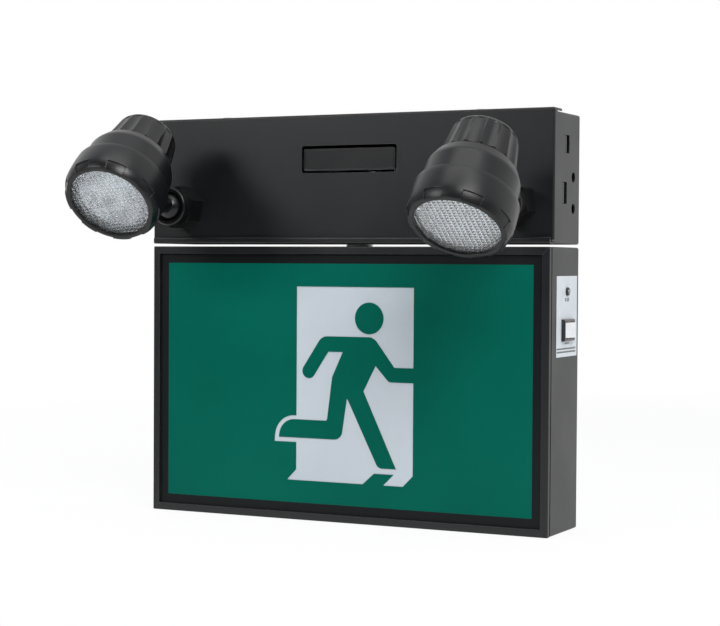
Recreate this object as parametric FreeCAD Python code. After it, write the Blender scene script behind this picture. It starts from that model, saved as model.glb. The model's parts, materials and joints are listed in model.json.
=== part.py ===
"""Emergency exit light: a running-man exit sign with a battery box and two lamp heads above it.

Millimetres. X runs along the wall, Y points into the wall (the front faces -Y) and Z is up.
The origin is the centre of the wire entry in the battery box's back, on the wall plane.
"""
import FreeCAD, Part
import math
import os
from FreeCAD import Placement, Rotation, Vector

# ---- both boxes -------------------------------------------------------------------------------
UNIT_WIDTH = 311.0          # 12 1/4 inch housing
UNIT_DEPTH = 58.4           # wall to the front plane
SHEET = 1.0                 # steel of both boxes and of the cover
BEND = 0.5                  # inside radius of a fold
UNIT_GAP = 2.0              # between the two boxes
TOUCH = 0.3                 # clearance of a piece that is dropped into another
SNUG = 0.05                 # radial clearance of a screw, stud or pin in its hole

# ---- battery box ------------------------------------------------------------------------------
BOX_HEIGHT = 89.4
ENTRY_HEIGHT = 45.0         # wire entry above the box's bottom
ENTRY_RADIUS = 11.1         # half-inch knockout
LIP_HEIGHT = 4.6
HEM_GAP = 0.4               # between the lip and its folded-back hem
HEM_DEPTH = 3.0
RELIEF_LENGTH = 5.0         # slit beside the lip at each end of the bottom
RELIEF_HEIGHT = 0.5
WALL_SCREW_RADIUS = 2.5
WALL_SCREW_FROM_END = 35.5
BOX_SCREW_HEIGHT = 80.0
SIDE_HOLE_RADIUS = 3.5
SIDE_HOLE_FROM_FRONT = 45.3
SIDE_HOLE_LOW = 24.5
SIDE_HOLE_SPACING = 21.6
SLOT_WIDTH = 11.2
SLOT_TAB = 6.6              # part of the slot's width that the bent tab still covers
SLOT_TAB_ANGLE = 12.0
UPPER_SLOT = {"from_front": 25.6, "low": 62.0, "height": 12.4}
LOWER_SLOT = {"from_front": 21.0, "low": 27.5, "height": 14.8}

# ---- battery cover ----------------------------------------------------------------------------
COVER_GAP = 0.9             # between the cover's flanges and the box
COVER_SIDE_FLANGE = 5.2
COVER_TOP_FLANGE = 14.0
COVER_BEHIND_LIP = 0.2
COVER_ABOVE_BOTTOM = 0.4
FLANGE_END = 2.7            # where the side flanges stop, above the box's bottom
COVER_SCREW_FROM_END = 55.5
COVER_SCREW_FROM_FACE = 9.6
COVER_SCREW_RADIUS = 1.9
COVER_SCREW_LENGTH = 7.0
SCREW_HEAD_RADIUS = 3.6
SCREW_HEAD_HEIGHT = 2.2
PLATE_WIDTH = 74.6          # window of the blank nameplate
PLATE_HEIGHT = 19.4
PLATE_X = 4.0
PLATE_ABOVE_BOTTOM = 50.0
PLATE_CORNER = 2.0
PLATE_GAP = 0.5
PLATE_RECESS = 0.5
PLATE_BEVEL = 0.6
PLATE_FLANGE = 3.0
PLATE_FLANGE_THICK = 0.8

# ---- inside the battery box -------------------------------------------------------------------
BATTERY_DEPTH = 34.0        # 6 V 3.2 Ah block, 134 mm long
BATTERY_HEIGHT = 60.0
BATTERY_LID = 5.0
BATTERY_CORNER = 2.5
TERMINAL = (0.8, 4.8, 6.0)          # tab: thickness, width, height
TERMINAL_INSET = 13.4       # from the battery's ends
BATTERY_FROM_END = 2.0
BATTERY_FROM_BUSHING = 5.0
BRACKET_WIDTH = 16.0
BRACKET_SHEET = 1.5
BRACKET_DROP = 22.0
BRACKET_FLANGE = 12.0
STUD_RADIUS = 2.0
NUT_FLATS = 7.0
NUT_HEIGHT = 3.2
BOARD = (84.0, 1.6, 60.0)
BOARD_FROM_END = 6.5
BOARD_ABOVE_BOTTOM = 46.0
STANDOFF_LENGTH = 6.0
STANDOFF_RADIUS = 3.0
STANDOFF_INSET = 5.0
TRANSFORMER_X = 46.0
LAMINATION = (41.0, 34.0, 16.0)
COIL_LENGTH = 30.0
COIL_WIDTH = 27.0
COIL_HEIGHT = 24.0
COIL_CORNER = 3.0
TRANSFORMER_FOOT = 1.5
TRANSFORMER_EAR = 8.0
TERMINAL_BLOCK = (31.0, 14.0, 16.0)
TERMINAL_BLOCK_X = 36.0
TERMINAL_BLOCK_ABOVE = 58.0
TERMINAL_POLES = 3
TERMINAL_WELL_RADIUS = 2.4
TERMINAL_WELL_DEPTH = 4.0
BUSHING_FLANGE_RADIUS = 13.5
BUSHING_FLANGE = 1.8
BUSHING_BORE_RADIUS = 8.0
BUSHING_LENGTH = 8.0
BUSHING_FIT = 0.1
BUSHING_WALL = 1.6
BUSHING_EDGE = 0.6

# Soldered parts: x and z from the board's middle, width, height (0 if round) and how far each stands.
CHARGER_PARTS = {
    "relay": (-22, 12, 19, 15, 15),
    "heat_plate": (8, 16, 26, 3, 18),
    "header": (28, -18, 8, 18, 10),
    "fuse": (-20, -18, 22, 6, 7),
    "large_capacitor": (0, -8, 12, 0, 18),
    "small_capacitor": (14, -8, 10, 0, 14),
}
DRIVER_PARTS = {
    "choke": (-28, 4, 14, 14, 11),
    "header": (38, -4, 8, 20, 9),
    "chip": (6, 4, 14, 10, 2),
    "capacitor": (-8, -10, 8, 0, 10),
}

# ---- nipple between the boxes -----------------------------------------------------------------
NIPPLE_RADIUS = 8.0
NIPPLE_BORE = 6.3
NIPPLE_SHOULDER = 9.5
NIPPLE_HOLE_GAP = 0.2
NIPPLE_REACH = 7.5          # thread inside each box
LOCKNUT_FLATS = 22.0
LOCKNUT_HEIGHT = 5.0

# ---- sign box ---------------------------------------------------------------------------------
SIGN_HEIGHT = 195.0
FRAME_LIP = 5.3             # seen width of the face frame
FRAME_SHEET = 1.2
FRAME_FLANGE = 3.6
FRAME_SEAM = 1.6            # shadow gap between the frame's flange and the box
FRAME_LEG = 12.0            # inner leg that slides into the box
FRAME_RECESS = 2.0
FRAME_EDGE = 0.7
MITRE_WIDTH = 0.3
MITRE_DEPTH = 0.3
FILM = 0.3
LEGEND_MARGIN = 12.1        # black border, measured from the housing's edge
DIFFUSER = 3.0
TRAY_SHEET = 0.8
TRAY_FLANGE = 6.0
TRAY_DEPTH = 28.0
TRAY_SLOPE_X = 26.0
TRAY_SLOPE_Z = 14.0
STRIP_FROM_END = 43.5
STRIP_THICK = 1.2
STRIP_WIDTH = 12.0
STRIP_OFFSET = 42.0         # of each strip from the middle of the sign
STRIP_LEDS = 8
LED_SIDE = 3.5
LED_HEIGHT = 1.6
DRIVER = (100.0, 1.6, 46.0)
DRIVER_X = -40.0
SIGN_SCREW_HEIGHT = 22.0

# ---- label, indicator and test switch on the sign's right end ---------------------------------
CONTROL_FROM_FRONT = 34.0
LABEL_WIDTH = 40.4
LABEL_HEIGHT = 55.0
LABEL_BELOW_TOP = 19.6
LABEL_THICK = 0.2
INDICATOR_BELOW_TOP = 30.2
HOLDER_RADIUS = 2.9
HOLDER_BARREL = 2.3
HOLDER_PROUD = 1.5
HOLDER_INSIDE = 5.0
HOLDER_EDGE = 0.8
LED_RADIUS = 1.5
LED_PROUD = 1.0
SWITCH_BELOW_TOP = 56.5
SWITCH_FRAME = (21.4, 15.0)         # along Y, along Z
SWITCH_PROUD = 2.4
SWITCH_BODY = (18.8, 12.6)
SWITCH_INSIDE = 17.0
SWITCH_GAP = 0.2
SWITCH_EDGE = 0.7
ROCKER = (16.4, 10.4)
ROCKER_CLEARANCE = 0.4
ROCKER_ANGLE = 12.0
ROCKER_HEIGHT = 3.4         # of its raised end above the pivot
ROCKER_DIP = 2.6            # of the face's middle above the pivot
ROCKER_SKIRT = 0.4          # of the sides' lower edge above the pivot
ROCKER_BELOW = 3.0
ROCKER_TAPER = 0.55         # of its length, at its lower side
ROCKER_NOSE = 0.8
ROCKER_EDGE = 0.5
ROCKER_WELL = 7.0
ROCKER_PIVOT_PROUD = 0.6    # pivot outside the label
ROCKER_STUB_RADIUS = 1.2
ROCKER_STUB = 0.9
SWITCH_BLADES = 2
SWITCH_BLADE = (7.0, 0.8, 4.8)      # length, thickness, width
SWITCH_BLADE_PITCH = 7.0

# ---- swivel of a lamp head: distances run forward from the cover's face -------------------------
LAMP_FROM_END = 26.0
LAMP_ABOVE_BOTTOM = 26.5
HEX_FLATS = 27.0
HEX_HEIGHT = 16.0
HEX_EDGE = 0.8
BASE_FLOOR = 4.0
BASE_BORE = 10.7
BOSS_RADIUS = 12.1
BOSS_TOP = 20.6
TAIL_RADIUS = 8.0
TAIL_BORE = 5.0
TAIL_LENGTH = 11.0
BALL_RADIUS = 9.8
BALL_CLEARANCE = 0.1
PIVOT_FORWARD = 20.0
RING_RADIUS = 13.8
RING_FRONT = 24.5
RING_FLARE = 11.4
RING_NARROW = 2.6           # forward of the pivot
RING_SHELF = 1.0            # forward of the pivot
RING_EDGE = 1.6
RING_MOUTH_EDGE = 0.5
SEAT_TOP = 19.4
NECK_ANGLE = 48.0           # between the neck and the lamp's axis
NECK_RADIUS = 5.2
NECK_ROOT = 5.8
NECK_ROOT_END = 8.8         # distances from the pivot
NECK_TAPER_END = 12.2
NECK_ROUNDS = (2.0, 3.0, 1.0)
NECK_LENGTH = 23.0          # pivot to the pad on the lamp body
PAD_RADIUS = 8.0
PAD_THICK = 2.5
PAD_EDGE = 0.8
SPIGOT_RADIUS = 3.6
SPIGOT_LENGTH = 5.0
WIRE_HOLE = 2.0

# ---- lamp head: stations run back from the plane of the lens window -----------------------------
HEAD_FORWARD = 60.4         # pivot to the window plane, along the lamp's axis
HEAD_GAP = 22.0             # pivot to the lamp body's side
BODY_RADIUS = 30.8          # inside the bezel; the other radii are told from it
WINDOW_INSET = 2.97
BEZEL_FIT = 0.4
BEZEL_LIP = 2.0
BEZEL_LENGTH = 24.0
BEZEL_PROFILE = ((0.0, 1.4), (4.0, 3.8), (9.0, 4.6), (15.0, 4.4), (20.0, 3.7), (24.0, 2.5))
BEZEL_ROUND = 3.0
BEZEL_NOTCHES = 8
BEZEL_NOTCH_DEPTH = 1.3
BEZEL_NOTCH_LENGTH = 6.0
LENS_THICK = 2.6
GASKET_THICK = 1.8
GASKET_SET_BACK = 0.07      # of its bore behind the window's edge
SLIP = 0.3
BODY_WALL = 2.2
BODY_SHOULDER = 24.6
BODY_PROFILE = ((24.6, 1.1), (40.0, 0.5, 9.0), (46.6, -2.4, 2.0), (50.0, -5.6, 1.0))
BODY_BACK = 50.0
CAVITY_BEND = 41.0          # station where the cavity starts to draw in
CAVITY_DRAW = 5.0
CAVITY_ROUNDS = (6.0, 2.0)
CAP_NECK_INSET = 10.2
CAP_NECK_LENGTH = 8.0
CAP_NECK_WALL = 2.4
CAP_LENGTH = 24.0
CAP_BASE_INSET = 6.6
CAP_TIP_INSET = 10.2
CAP_RIM = 3.0
CAP_WALL = 2.4
CAP_EDGE = 0.6
CAP_FLUTES = 16
FLUTE_DEPTH = 1.3
FLUTE_WIDTH = 6.6
FLUTE_TIP_WIDTH = 5.4
FLUTE_START = 1.0           # ahead of the cap's base
FLUTE_END = 3.6             # kept full at the rim
FLUTE_CUTTER = 9.0
REFLECTOR_WALL = 1.2
REFLECTOR_FLANGE = 1.2
REFLECTOR_MOUTH_INSET = 3.6
REFLECTOR_THROAT = 6.5
REFLECTOR_DEPTH = 20.0
REFLECTOR_BELLY = (7.0, 7.952)      # behind its front, inside the body radius
REFLECTOR_CURVE = 20.0
LED_BOARD_RADIUS = 12.0
LED_BOARD_THICK = 1.6
LED_CHIP = 7.0
LED_CHIP_THICK = 0.8
SINK_FIT = 0.4
SINK_BASE = 4.0
SINK_FINS = 7
SINK_FIN_PITCH = 5.4
SINK_FIN_THICK = 1.6
SINK_FIN_LENGTH = 9.0
SINK_FIN_INSET = 10.8

# Each head as it is set: how its hexagon is turned, the lamp's tilt below the horizontal, and its
# turn about the base's axis.
SIDES = {
    "left": {"sign": -1, "hexagon": 18.0, "tilt": 41.6, "turn": -6.0},
    "right": {"sign": 1, "hexagon": 42.0, "tilt": 54.2, "turn": 1.2},
}

# ---- running man: x from the middle, z below the sign's top; a third value rounds the corner ----
DOORWAY = [(-36.3, -28.4), (55.4, -28.4), (55.4, -159.2), (47.8, -166.9), (32.7, -166.9), (40.6, -159.0),
           (25.5, -159.0), (16.7, -166.9), (-43.6, -166.9), (-36.3, -159.2)]
FOOT_HALO = [(-36.0, -120.6), (-52.6, -120.6, 15.5), (-53.9, -139.7), (-36.0, -139.7)]
MAN = [(-33.6, -90.1, 5.1), (-16.0, -63.5, 8.0), (24.7, -63.5, 8.0), (40.7, -84.3), (56.5, -84.3),
       (56.5, -94.6), (36.6, -94.6, 4.0), (26.3, -83.4), (16.9, -101.6), (42.4, -155.1),
       (28.6, -155.1, 5.0), (4.0, -106.5, 0.4), (-0.4, -136.5, 6.5), (-50.3, -136.5),
       (-48.8, -123.4, 12.0), (-11.7, -123.4, 1.5), (-7.7, -92.3, 5.0), (0.6, -74.4),
       (-10.9, -74.4), (-24.7, -95.4, 5.1)]
MAN_HEAD = (21.1, -50.3, 11.1)

# ---- worked out from the sizes above ----------------------------------------------------------
HALF = UNIT_WIDTH / 2
FRONT = -UNIT_DEPTH
BOX_BOTTOM = -ENTRY_HEIGHT
BOX_TOP = BOX_BOTTOM + BOX_HEIGHT
BOX_FLOOR = BOX_BOTTOM + SHEET
BACK_FACE = -SHEET                                  # inner face of both backs
BATTERY_BACK = BACK_FACE - BEND                     # clear of the fold's inside radius
LIP_DEPTH = 2 * SHEET + HEM_GAP
COVER_FACE = FRONT + LIP_DEPTH + COVER_BEHIND_LIP
COVER_INNER = COVER_FACE + SHEET
BOX_FRONT = COVER_INNER + TOUCH
COVER_HALF = HALF + COVER_GAP + SHEET
COVER_TOP = BOX_TOP + COVER_GAP + SHEET
SIGN_TOP = BOX_BOTTOM - UNIT_GAP
SIGN_BOTTOM = SIGN_TOP - SIGN_HEIGHT
SIGN_MIDDLE = SIGN_TOP - SIGN_HEIGHT / 2
MIDDLE_DEPTH = -UNIT_DEPTH / 2
CONTROL_Y = FRONT + CONTROL_FROM_FRONT
LABEL_FACE = HALF + LABEL_THICK
LAMP_Z = BOX_BOTTOM + LAMP_ABOVE_BOTTOM
PIVOT_Y = COVER_FACE - PIVOT_FORWARD
WALL_SCREW_SPACING = UNIT_WIDTH - 2 * WALL_SCREW_FROM_END
COVER_SCREW_X = HALF - COVER_SCREW_FROM_END
COVER_SCREW_Y = COVER_FACE + COVER_SCREW_FROM_FACE
BATTERY_LENGTH = HALF - SHEET - BATTERY_FROM_END - BATTERY_FROM_BUSHING - BUSHING_FLANGE_RADIUS
BOARD_X = HALF - SHEET - BOARD_FROM_END - BOARD[0] / 2
STRIP_LENGTH = UNIT_WIDTH - 2 * STRIP_FROM_END
HEAD_OFFSET = BODY_RADIUS + HEAD_GAP                # pivot to the lamp's axis
WINDOW_RADIUS = BODY_RADIUS - WINDOW_INSET
BEZEL_WALL_RADIUS = BODY_RADIUS + BEZEL_FIT
CAP_NECK_RADIUS = BODY_RADIUS - CAP_NECK_INSET
CAP_BASE_RADIUS = BODY_RADIUS - CAP_BASE_INSET
CAP_TIP_RADIUS = BODY_RADIUS - CAP_TIP_INSET


# ---- shape helpers ----------------------------------------------------------------------------
def slab(x, y, z):
    """Box between two values on each axis."""
    low = Vector(min(x), min(y), min(z))
    return Part.makeBox(abs(x[1] - x[0]), abs(y[1] - y[0]), abs(z[1] - z[0]), low)


def spread(middle, width):
    """The two ends of a width about its middle."""
    return (middle - width / 2, middle + width / 2)


def rounded_wire(points, place):
    """Closed wire through 2-D points; a point's third value is its corner radius."""
    corners = []
    for index, point in enumerate(points):
        here = Vector(point[0], point[1], 0)
        radius = point[2] if len(point) > 2 else 0
        if not radius:
            corners.append([here])
            continue
        previous, following = points[index - 1], points[(index + 1) % len(points)]
        back = (Vector(previous[0], previous[1], 0) - here).normalize()
        ahead = (Vector(following[0], following[1], 0) - here).normalize()
        half = back.getAngle(ahead) / 2
        reach = radius / math.tan(half)
        inward = (back + ahead).normalize()
        middle = here + inward * (radius / math.sin(half) - radius)
        corners.append([here + back * reach, middle, here + ahead * reach])
    edges = []
    for index, corner in enumerate(corners):
        placed = [place(p.x, p.y) for p in corner]
        following = corners[(index + 1) % len(corners)][0]
        if len(placed) == 3:
            edges.append(Part.Arc(*placed).toShape())
        start, end = placed[-1], place(following.x, following.y)
        if start.distanceToPoint(end) > 1e-6:
            edges.append(Part.makeLine(start, end))
    return Part.Wire(edges)


def prism(points, plane, start, end):
    """Rounded outline in the plane "xy", "xz" or "yz", run between two values of the third axis."""
    places = {
        "xy": (lambda u, v: Vector(u, v, start), Vector(0, 0, end - start)),
        "xz": (lambda u, v: Vector(u, start, v), Vector(0, end - start, 0)),
        "yz": (lambda u, v: Vector(start, u, v), Vector(end - start, 0, 0)),
    }
    place, run = places[plane]
    return Part.Face(rounded_wire(points, place)).extrude(run)


def rectangle(u, v, radius=0):
    """Outline points of a rectangle between two values on each axis."""
    return [(u[0], v[0], radius), (u[1], v[0], radius), (u[1], v[1], radius), (u[0], v[1], radius)]


def rounded_slab(x, y, z, radius):
    """Plate facing -Y with rounded corners."""
    return prism(rectangle(x, z, radius), "xz", y[0], y[1])


def turned(profile):
    """Solid turned about the Y axis from (y, radius) points, each with an optional corner radius."""
    face = Part.Face(rounded_wire(profile, lambda y, radius: Vector(radius, y, 0)))
    return face.revolve(Vector(0, 0, 0), Vector(0, 1, 0), 360)


def rod(radius, base, direction, length):
    return Part.makeCylinder(radius, length, Vector(*base), Vector(*direction))


def hexagon(across_flats, turn=0.0):
    """Corner points of a hexagon about the origin."""
    corner = across_flats / 2 / math.cos(math.pi / 6)
    angles = [math.radians(60 * k + turn) for k in range(6)]
    return [(corner * math.cos(a), corner * math.sin(a)) for a in angles]


def fused(shapes):
    first, *others = shapes
    return first.fuse(others).removeSplitter() if others else first


def mirrored_x(shape):
    return shape.mirror(Vector(0, 0, 0), Vector(1, 0, 0))


def edges_where(shape, test):
    """Edges whose bounding box passes the test."""
    return [edge for edge in shape.Edges if test(edge.BoundBox)]


def folded_tray(x, y, z):
    """Sheet box open towards -Y, with its bend radius along every folded edge."""
    def softened(block, radius):
        front = block.BoundBox.YMin
        return block.makeFillet(radius, edges_where(block, lambda b: b.YMax > front + SNUG))
    outer = softened(slab(x, y, z), BEND + SHEET)
    inner = softened(slab((x[0] + SHEET, x[1] - SHEET), (y[0] - SHEET, y[1] - SHEET),
                          (z[0] + SHEET, z[1] - SHEET)), BEND)
    return outer.cut(inner)


def hex_nut(flats, height, bore, centre, direction):
    """Plain hexagonal nut whose face lies at centre and whose body runs along direction."""
    nut = prism(hexagon(flats), "xy", 0, height)
    nut = nut.cut(rod(bore, (0, 0, 0), (0, 0, 1), height))
    nut.Placement = Placement(Vector(*centre), Rotation(Vector(0, 0, 1), Vector(*direction)))
    return nut


# ---- battery box ------------------------------------------------------------------------------
def lip():
    """Front of the box's bottom: sheet run forward, turned up and hemmed back on itself."""
    top = BOX_BOTTOM + LIP_HEIGHT
    outer = SHEET + HEM_GAP / 2
    points = [
        (BOX_FRONT + RELIEF_LENGTH, BOX_BOTTOM),
        (BOX_FRONT + RELIEF_LENGTH, BOX_FLOOR),
        (FRONT + SHEET, BOX_FLOOR, BEND),
        (FRONT + SHEET, top - SHEET, HEM_GAP / 2),
        (FRONT + SHEET + HEM_GAP, top - SHEET, HEM_GAP / 2),
        (FRONT + SHEET + HEM_GAP, top - HEM_DEPTH),
        (FRONT + LIP_DEPTH, top - HEM_DEPTH),
        (FRONT + LIP_DEPTH, top, outer),
        (FRONT, top, outer),
        (FRONT, BOX_BOTTOM, BEND + SHEET),
    ]
    return prism(points, "yz", -HALF, HALF)


def slot_window(slot):
    """Opening of a lanced slot in the right end."""
    y = FRONT + slot["from_front"]
    z = BOX_BOTTOM + slot["low"]
    return slab((HALF - 2 * SHEET, HALF + SHEET), (y, y + SLOT_WIDTH), (z, z + slot["height"]))


def slot_tab(slot):
    """Tab of a lanced slot, bent inwards along its front edge."""
    y = FRONT + slot["from_front"]
    z = BOX_BOTTOM + slot["low"]
    tab = slab((HALF - SHEET, HALF), (y, y + SLOT_TAB), (z + SNUG, z + slot["height"] - SNUG))
    return tab.rotate(Vector(HALF, y, z), Vector(0, 0, 1), SLOT_TAB_ANGLE)


def battery_box():
    """Folded steel box: back, four walls, front lip, lanced slots and all its holes."""
    shell = folded_tray((-HALF, HALF), (BOX_FRONT, 0), (BOX_BOTTOM, BOX_TOP))
    shell = shell.fuse(lip())
    relief = slab((HALF - SHEET - BEND, HALF + SHEET), (BOX_FRONT - SHEET, BOX_FRONT + RELIEF_LENGTH),
                  (BOX_FLOOR, BOX_FLOOR + RELIEF_HEIGHT))
    cuts = [relief, mirrored_x(relief)]
    tabs = []
    for slot in (UPPER_SLOT, LOWER_SLOT):
        cuts += [slot_window(slot), mirrored_x(slot_window(slot))]
        tabs += [slot_tab(slot), mirrored_x(slot_tab(slot))]
    hole_y = FRONT + SIDE_HOLE_FROM_FRONT
    for height in (SIDE_HOLE_LOW, SIDE_HOLE_LOW + SIDE_HOLE_SPACING):
        cuts.append(rod(SIDE_HOLE_RADIUS, (-HALF - SHEET, hole_y, BOX_BOTTOM + height), (1, 0, 0),
                        UNIT_WIDTH + 2 * SHEET))
    for x in spread(0, WALL_SCREW_SPACING):
        cuts.append(rod(WALL_SCREW_RADIUS, (x, -2 * SHEET, BOX_BOTTOM + BOX_SCREW_HEIGHT), (0, 1, 0),
                        3 * SHEET))
    cuts.append(rod(ENTRY_RADIUS, (0, -2 * SHEET, 0), (0, 1, 0), 3 * SHEET))
    cuts.append(rod(NIPPLE_RADIUS + NIPPLE_HOLE_GAP, (0, MIDDLE_DEPTH, BOX_BOTTOM - SHEET), (0, 0, 1),
                    3 * SHEET))
    for x in (-COVER_SCREW_X, COVER_SCREW_X):
        cuts.append(rod(COVER_SCREW_RADIUS + SNUG, (x, COVER_SCREW_Y, BOX_TOP - 2 * SHEET), (0, 0, 1),
                        3 * SHEET))
    shell = shell.cut(cuts)
    stud = rod(STUD_RADIUS, (battery_middle_x(), BACK_FACE, stud_z()), (0, -1, 0),
               BRACKET_SHEET + NUT_HEIGHT + SHEET)
    return fused([shell, stud] + tabs)


def battery_cover():
    """Folded front cover with shallow side flanges and a deeper top flange."""
    def block(inset, drop):
        body = slab((-COVER_HALF + inset, COVER_HALF - inset), (COVER_FACE + inset, BACK_FACE),
                    (BOX_BOTTOM + COVER_ABOVE_BOTTOM + SHEET - drop, COVER_TOP - inset))
        low, back = body.BoundBox.ZMin, body.BoundBox.YMax
        folds = edges_where(body, lambda b: b.ZMax > low + SNUG and b.YMin < back - SNUG)
        return body.makeFillet(BEND + SHEET - inset, folds)
    shell = block(0, 0).cut(block(SHEET, SHEET))
    low = BOX_BOTTOM
    flange_end = BOX_BOTTOM + FLANGE_END
    side_back = COVER_FACE + COVER_SIDE_FLANGE
    cuts = [
        slab((-UNIT_WIDTH, UNIT_WIDTH), (side_back, 0), (low, BOX_TOP)),
        slab((-UNIT_WIDTH, UNIT_WIDTH), (COVER_FACE + COVER_TOP_FLANGE, 0), (low, COVER_TOP + SHEET)),
        slab((HALF - SHEET, UNIT_WIDTH), (FRONT, 0), (low, flange_end)),
        slab((-HALF + SHEET, -UNIT_WIDTH), (FRONT, 0), (low, flange_end)),
        rounded_slab(spread(PLATE_X, PLATE_WIDTH), (COVER_FACE - SHEET, COVER_INNER + SHEET),
                     spread(plate_z(), PLATE_HEIGHT), PLATE_CORNER),
    ]
    for side in SIDES:
        cuts.append(rod(TAIL_RADIUS + NIPPLE_HOLE_GAP, (lamp_x(side), COVER_FACE - SHEET, LAMP_Z),
                        (0, 1, 0), 3 * SHEET))
    for x in (-COVER_SCREW_X, COVER_SCREW_X):
        cuts.append(rod(COVER_SCREW_RADIUS + NIPPLE_HOLE_GAP, (x, COVER_SCREW_Y, COVER_TOP - 2 * SHEET),
                        (0, 0, 1), 3 * SHEET))
    return shell.cut(cuts)


def cover_screws():
    """Two pan-head screws down through the cover's top flange into the box."""
    def screw(x):
        head = rod(SCREW_HEAD_RADIUS, (x, COVER_SCREW_Y, COVER_TOP), (0, 0, 1), SCREW_HEAD_HEIGHT)
        top = head.BoundBox.ZMax
        head = head.makeFillet(SCREW_HEAD_HEIGHT / 2, edges_where(head, lambda b: b.ZMin > top - SNUG))
        shank = rod(COVER_SCREW_RADIUS, (x, COVER_SCREW_Y, COVER_TOP), (0, 0, -1), COVER_SCREW_LENGTH)
        slot = slab(spread(x, SCREW_HEAD_RADIUS * 1.2), spread(COVER_SCREW_Y, SHEET),
                    (COVER_TOP + SCREW_HEAD_HEIGHT / 2, COVER_TOP + 2 * SCREW_HEAD_HEIGHT))
        cross = slot.copy()
        cross.rotate(Vector(x, COVER_SCREW_Y, 0), Vector(0, 0, 1), 90)
        return fused([head, shank]).cut([slot, cross])
    return Part.makeCompound([screw(-COVER_SCREW_X), screw(COVER_SCREW_X)])


def plate_z():
    return BOX_BOTTOM + PLATE_ABOVE_BOTTOM + PLATE_HEIGHT / 2


def nameplate():
    """Blank plate in the cover's window, held from behind by its own flange."""
    face_y = COVER_FACE + PLATE_RECESS
    width, height = PLATE_WIDTH - 2 * PLATE_GAP, PLATE_HEIGHT - 2 * PLATE_GAP
    face = rounded_slab(spread(PLATE_X, width), (face_y, COVER_INNER + PLATE_FLANGE_THICK),
                        spread(plate_z(), height), PLATE_CORNER)
    rim = edges_where(face, lambda b: b.YMax < face_y + SNUG)
    flange = rounded_slab(spread(PLATE_X, PLATE_WIDTH + 2 * PLATE_FLANGE),
                          (COVER_INNER, COVER_INNER + PLATE_FLANGE_THICK),
                          spread(plate_z(), PLATE_HEIGHT + 2 * PLATE_FLANGE), PLATE_CORNER)
    return fused([face.makeChamfer(PLATE_BEVEL, rim), flange])


# ---- inside the battery box -------------------------------------------------------------------
def battery_middle_x():
    return -HALF + SHEET + BATTERY_FROM_END + BATTERY_LENGTH / 2


def stud_z():
    return BOX_FLOOR + BATTERY_HEIGHT + BRACKET_SHEET + BRACKET_FLANGE / 2


def battery():
    """Sealed 6 V block: case, lid and two tab terminals."""
    top = BOX_FLOOR + BATTERY_HEIGHT
    x = spread(battery_middle_x(), BATTERY_LENGTH)
    y = (BATTERY_BACK - BATTERY_DEPTH, BATTERY_BACK)
    seam = top - BATTERY_LID
    case = prism(rectangle(x, y, BATTERY_CORNER), "xy", BOX_FLOOR, seam)
    lid = prism(rectangle((x[0] + SHEET, x[1] - SHEET), (y[0] + SHEET, y[1] - SHEET), BATTERY_CORNER - BEND),
                "xy", seam, top)
    thick, wide, tall = TERMINAL
    tabs = [slab(spread(middle, thick), spread(BATTERY_BACK - BATTERY_DEPTH / 2, wide), (top, top + tall))
            for middle in (x[0] + TERMINAL_INSET, x[1] - TERMINAL_INSET)]
    return fused([case, lid] + tabs)


def battery_bracket():
    """Bent strap from the back wall over the battery's top and down its front."""
    top = BOX_FLOOR + BATTERY_HEIGHT
    front = BATTERY_BACK - BATTERY_DEPTH
    sheet = BRACKET_SHEET
    points = [
        (BACK_FACE, top),
        (BACK_FACE, top + sheet + BRACKET_FLANGE),
        (BACK_FACE - sheet, top + sheet + BRACKET_FLANGE),
        (BACK_FACE - sheet, top + sheet, BEND),
        (front - sheet, top + sheet, BEND + sheet),
        (front - sheet, top - BRACKET_DROP),
        (front, top - BRACKET_DROP),
        (front, top, BEND),
    ]
    strap = prism(points, "yz", *spread(battery_middle_x(), BRACKET_WIDTH))
    return strap.cut(rod(STUD_RADIUS + SNUG, (battery_middle_x(), BACK_FACE, stud_z()), (0, -1, 0),
                         2 * BRACKET_SHEET))


def bracket_nut():
    return hex_nut(NUT_FLATS, NUT_HEIGHT, STUD_RADIUS + SNUG,
                   (battery_middle_x(), BACK_FACE - BRACKET_SHEET, stud_z()), (0, -1, 0))


def board_corners(x, z, size):
    """Standoff places of a board centred at x, z."""
    for dx in spread(0, size[0] - 2 * STANDOFF_INSET):
        for dz in spread(0, size[2] - 2 * STANDOFF_INSET):
            yield (x + dx, z + dz)


def board_places():
    """Centre and size of the charger board and of the sign's driver board."""
    charger = (BOARD_X, BOX_BOTTOM + BOARD_ABOVE_BOTTOM, BOARD)
    driver = (DRIVER_X, SIGN_MIDDLE, DRIVER)
    return charger, driver


def board_standoffs():
    """Spacers of both boards on the back walls."""
    posts = [rod(STANDOFF_RADIUS, (px, BACK_FACE, pz), (0, -1, 0), STANDOFF_LENGTH)
             for x, z, size in board_places() for px, pz in board_corners(x, z, size)]
    return Part.makeCompound(posts)


def populated_board(x, z, size, parts):
    """Printed board with its soldered parts."""
    back = BACK_FACE - STANDOFF_LENGTH
    front = back - size[1]
    pieces = [slab(spread(x, size[0]), (front, back), spread(z, size[2]))]
    for dx, dz, width, height, stand in parts:
        if height:
            pieces.append(slab(spread(x + dx, width), (front - stand, front), spread(z + dz, height)))
        else:
            pieces.append(rod(width / 2, (x + dx, front, z + dz), (0, -1, 0), stand))
    return fused(pieces)


def charger_board():
    return populated_board(*board_places()[0], CHARGER_PARTS.values())


def driver_board():
    return populated_board(*board_places()[1], DRIVER_PARTS.values())


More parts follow.
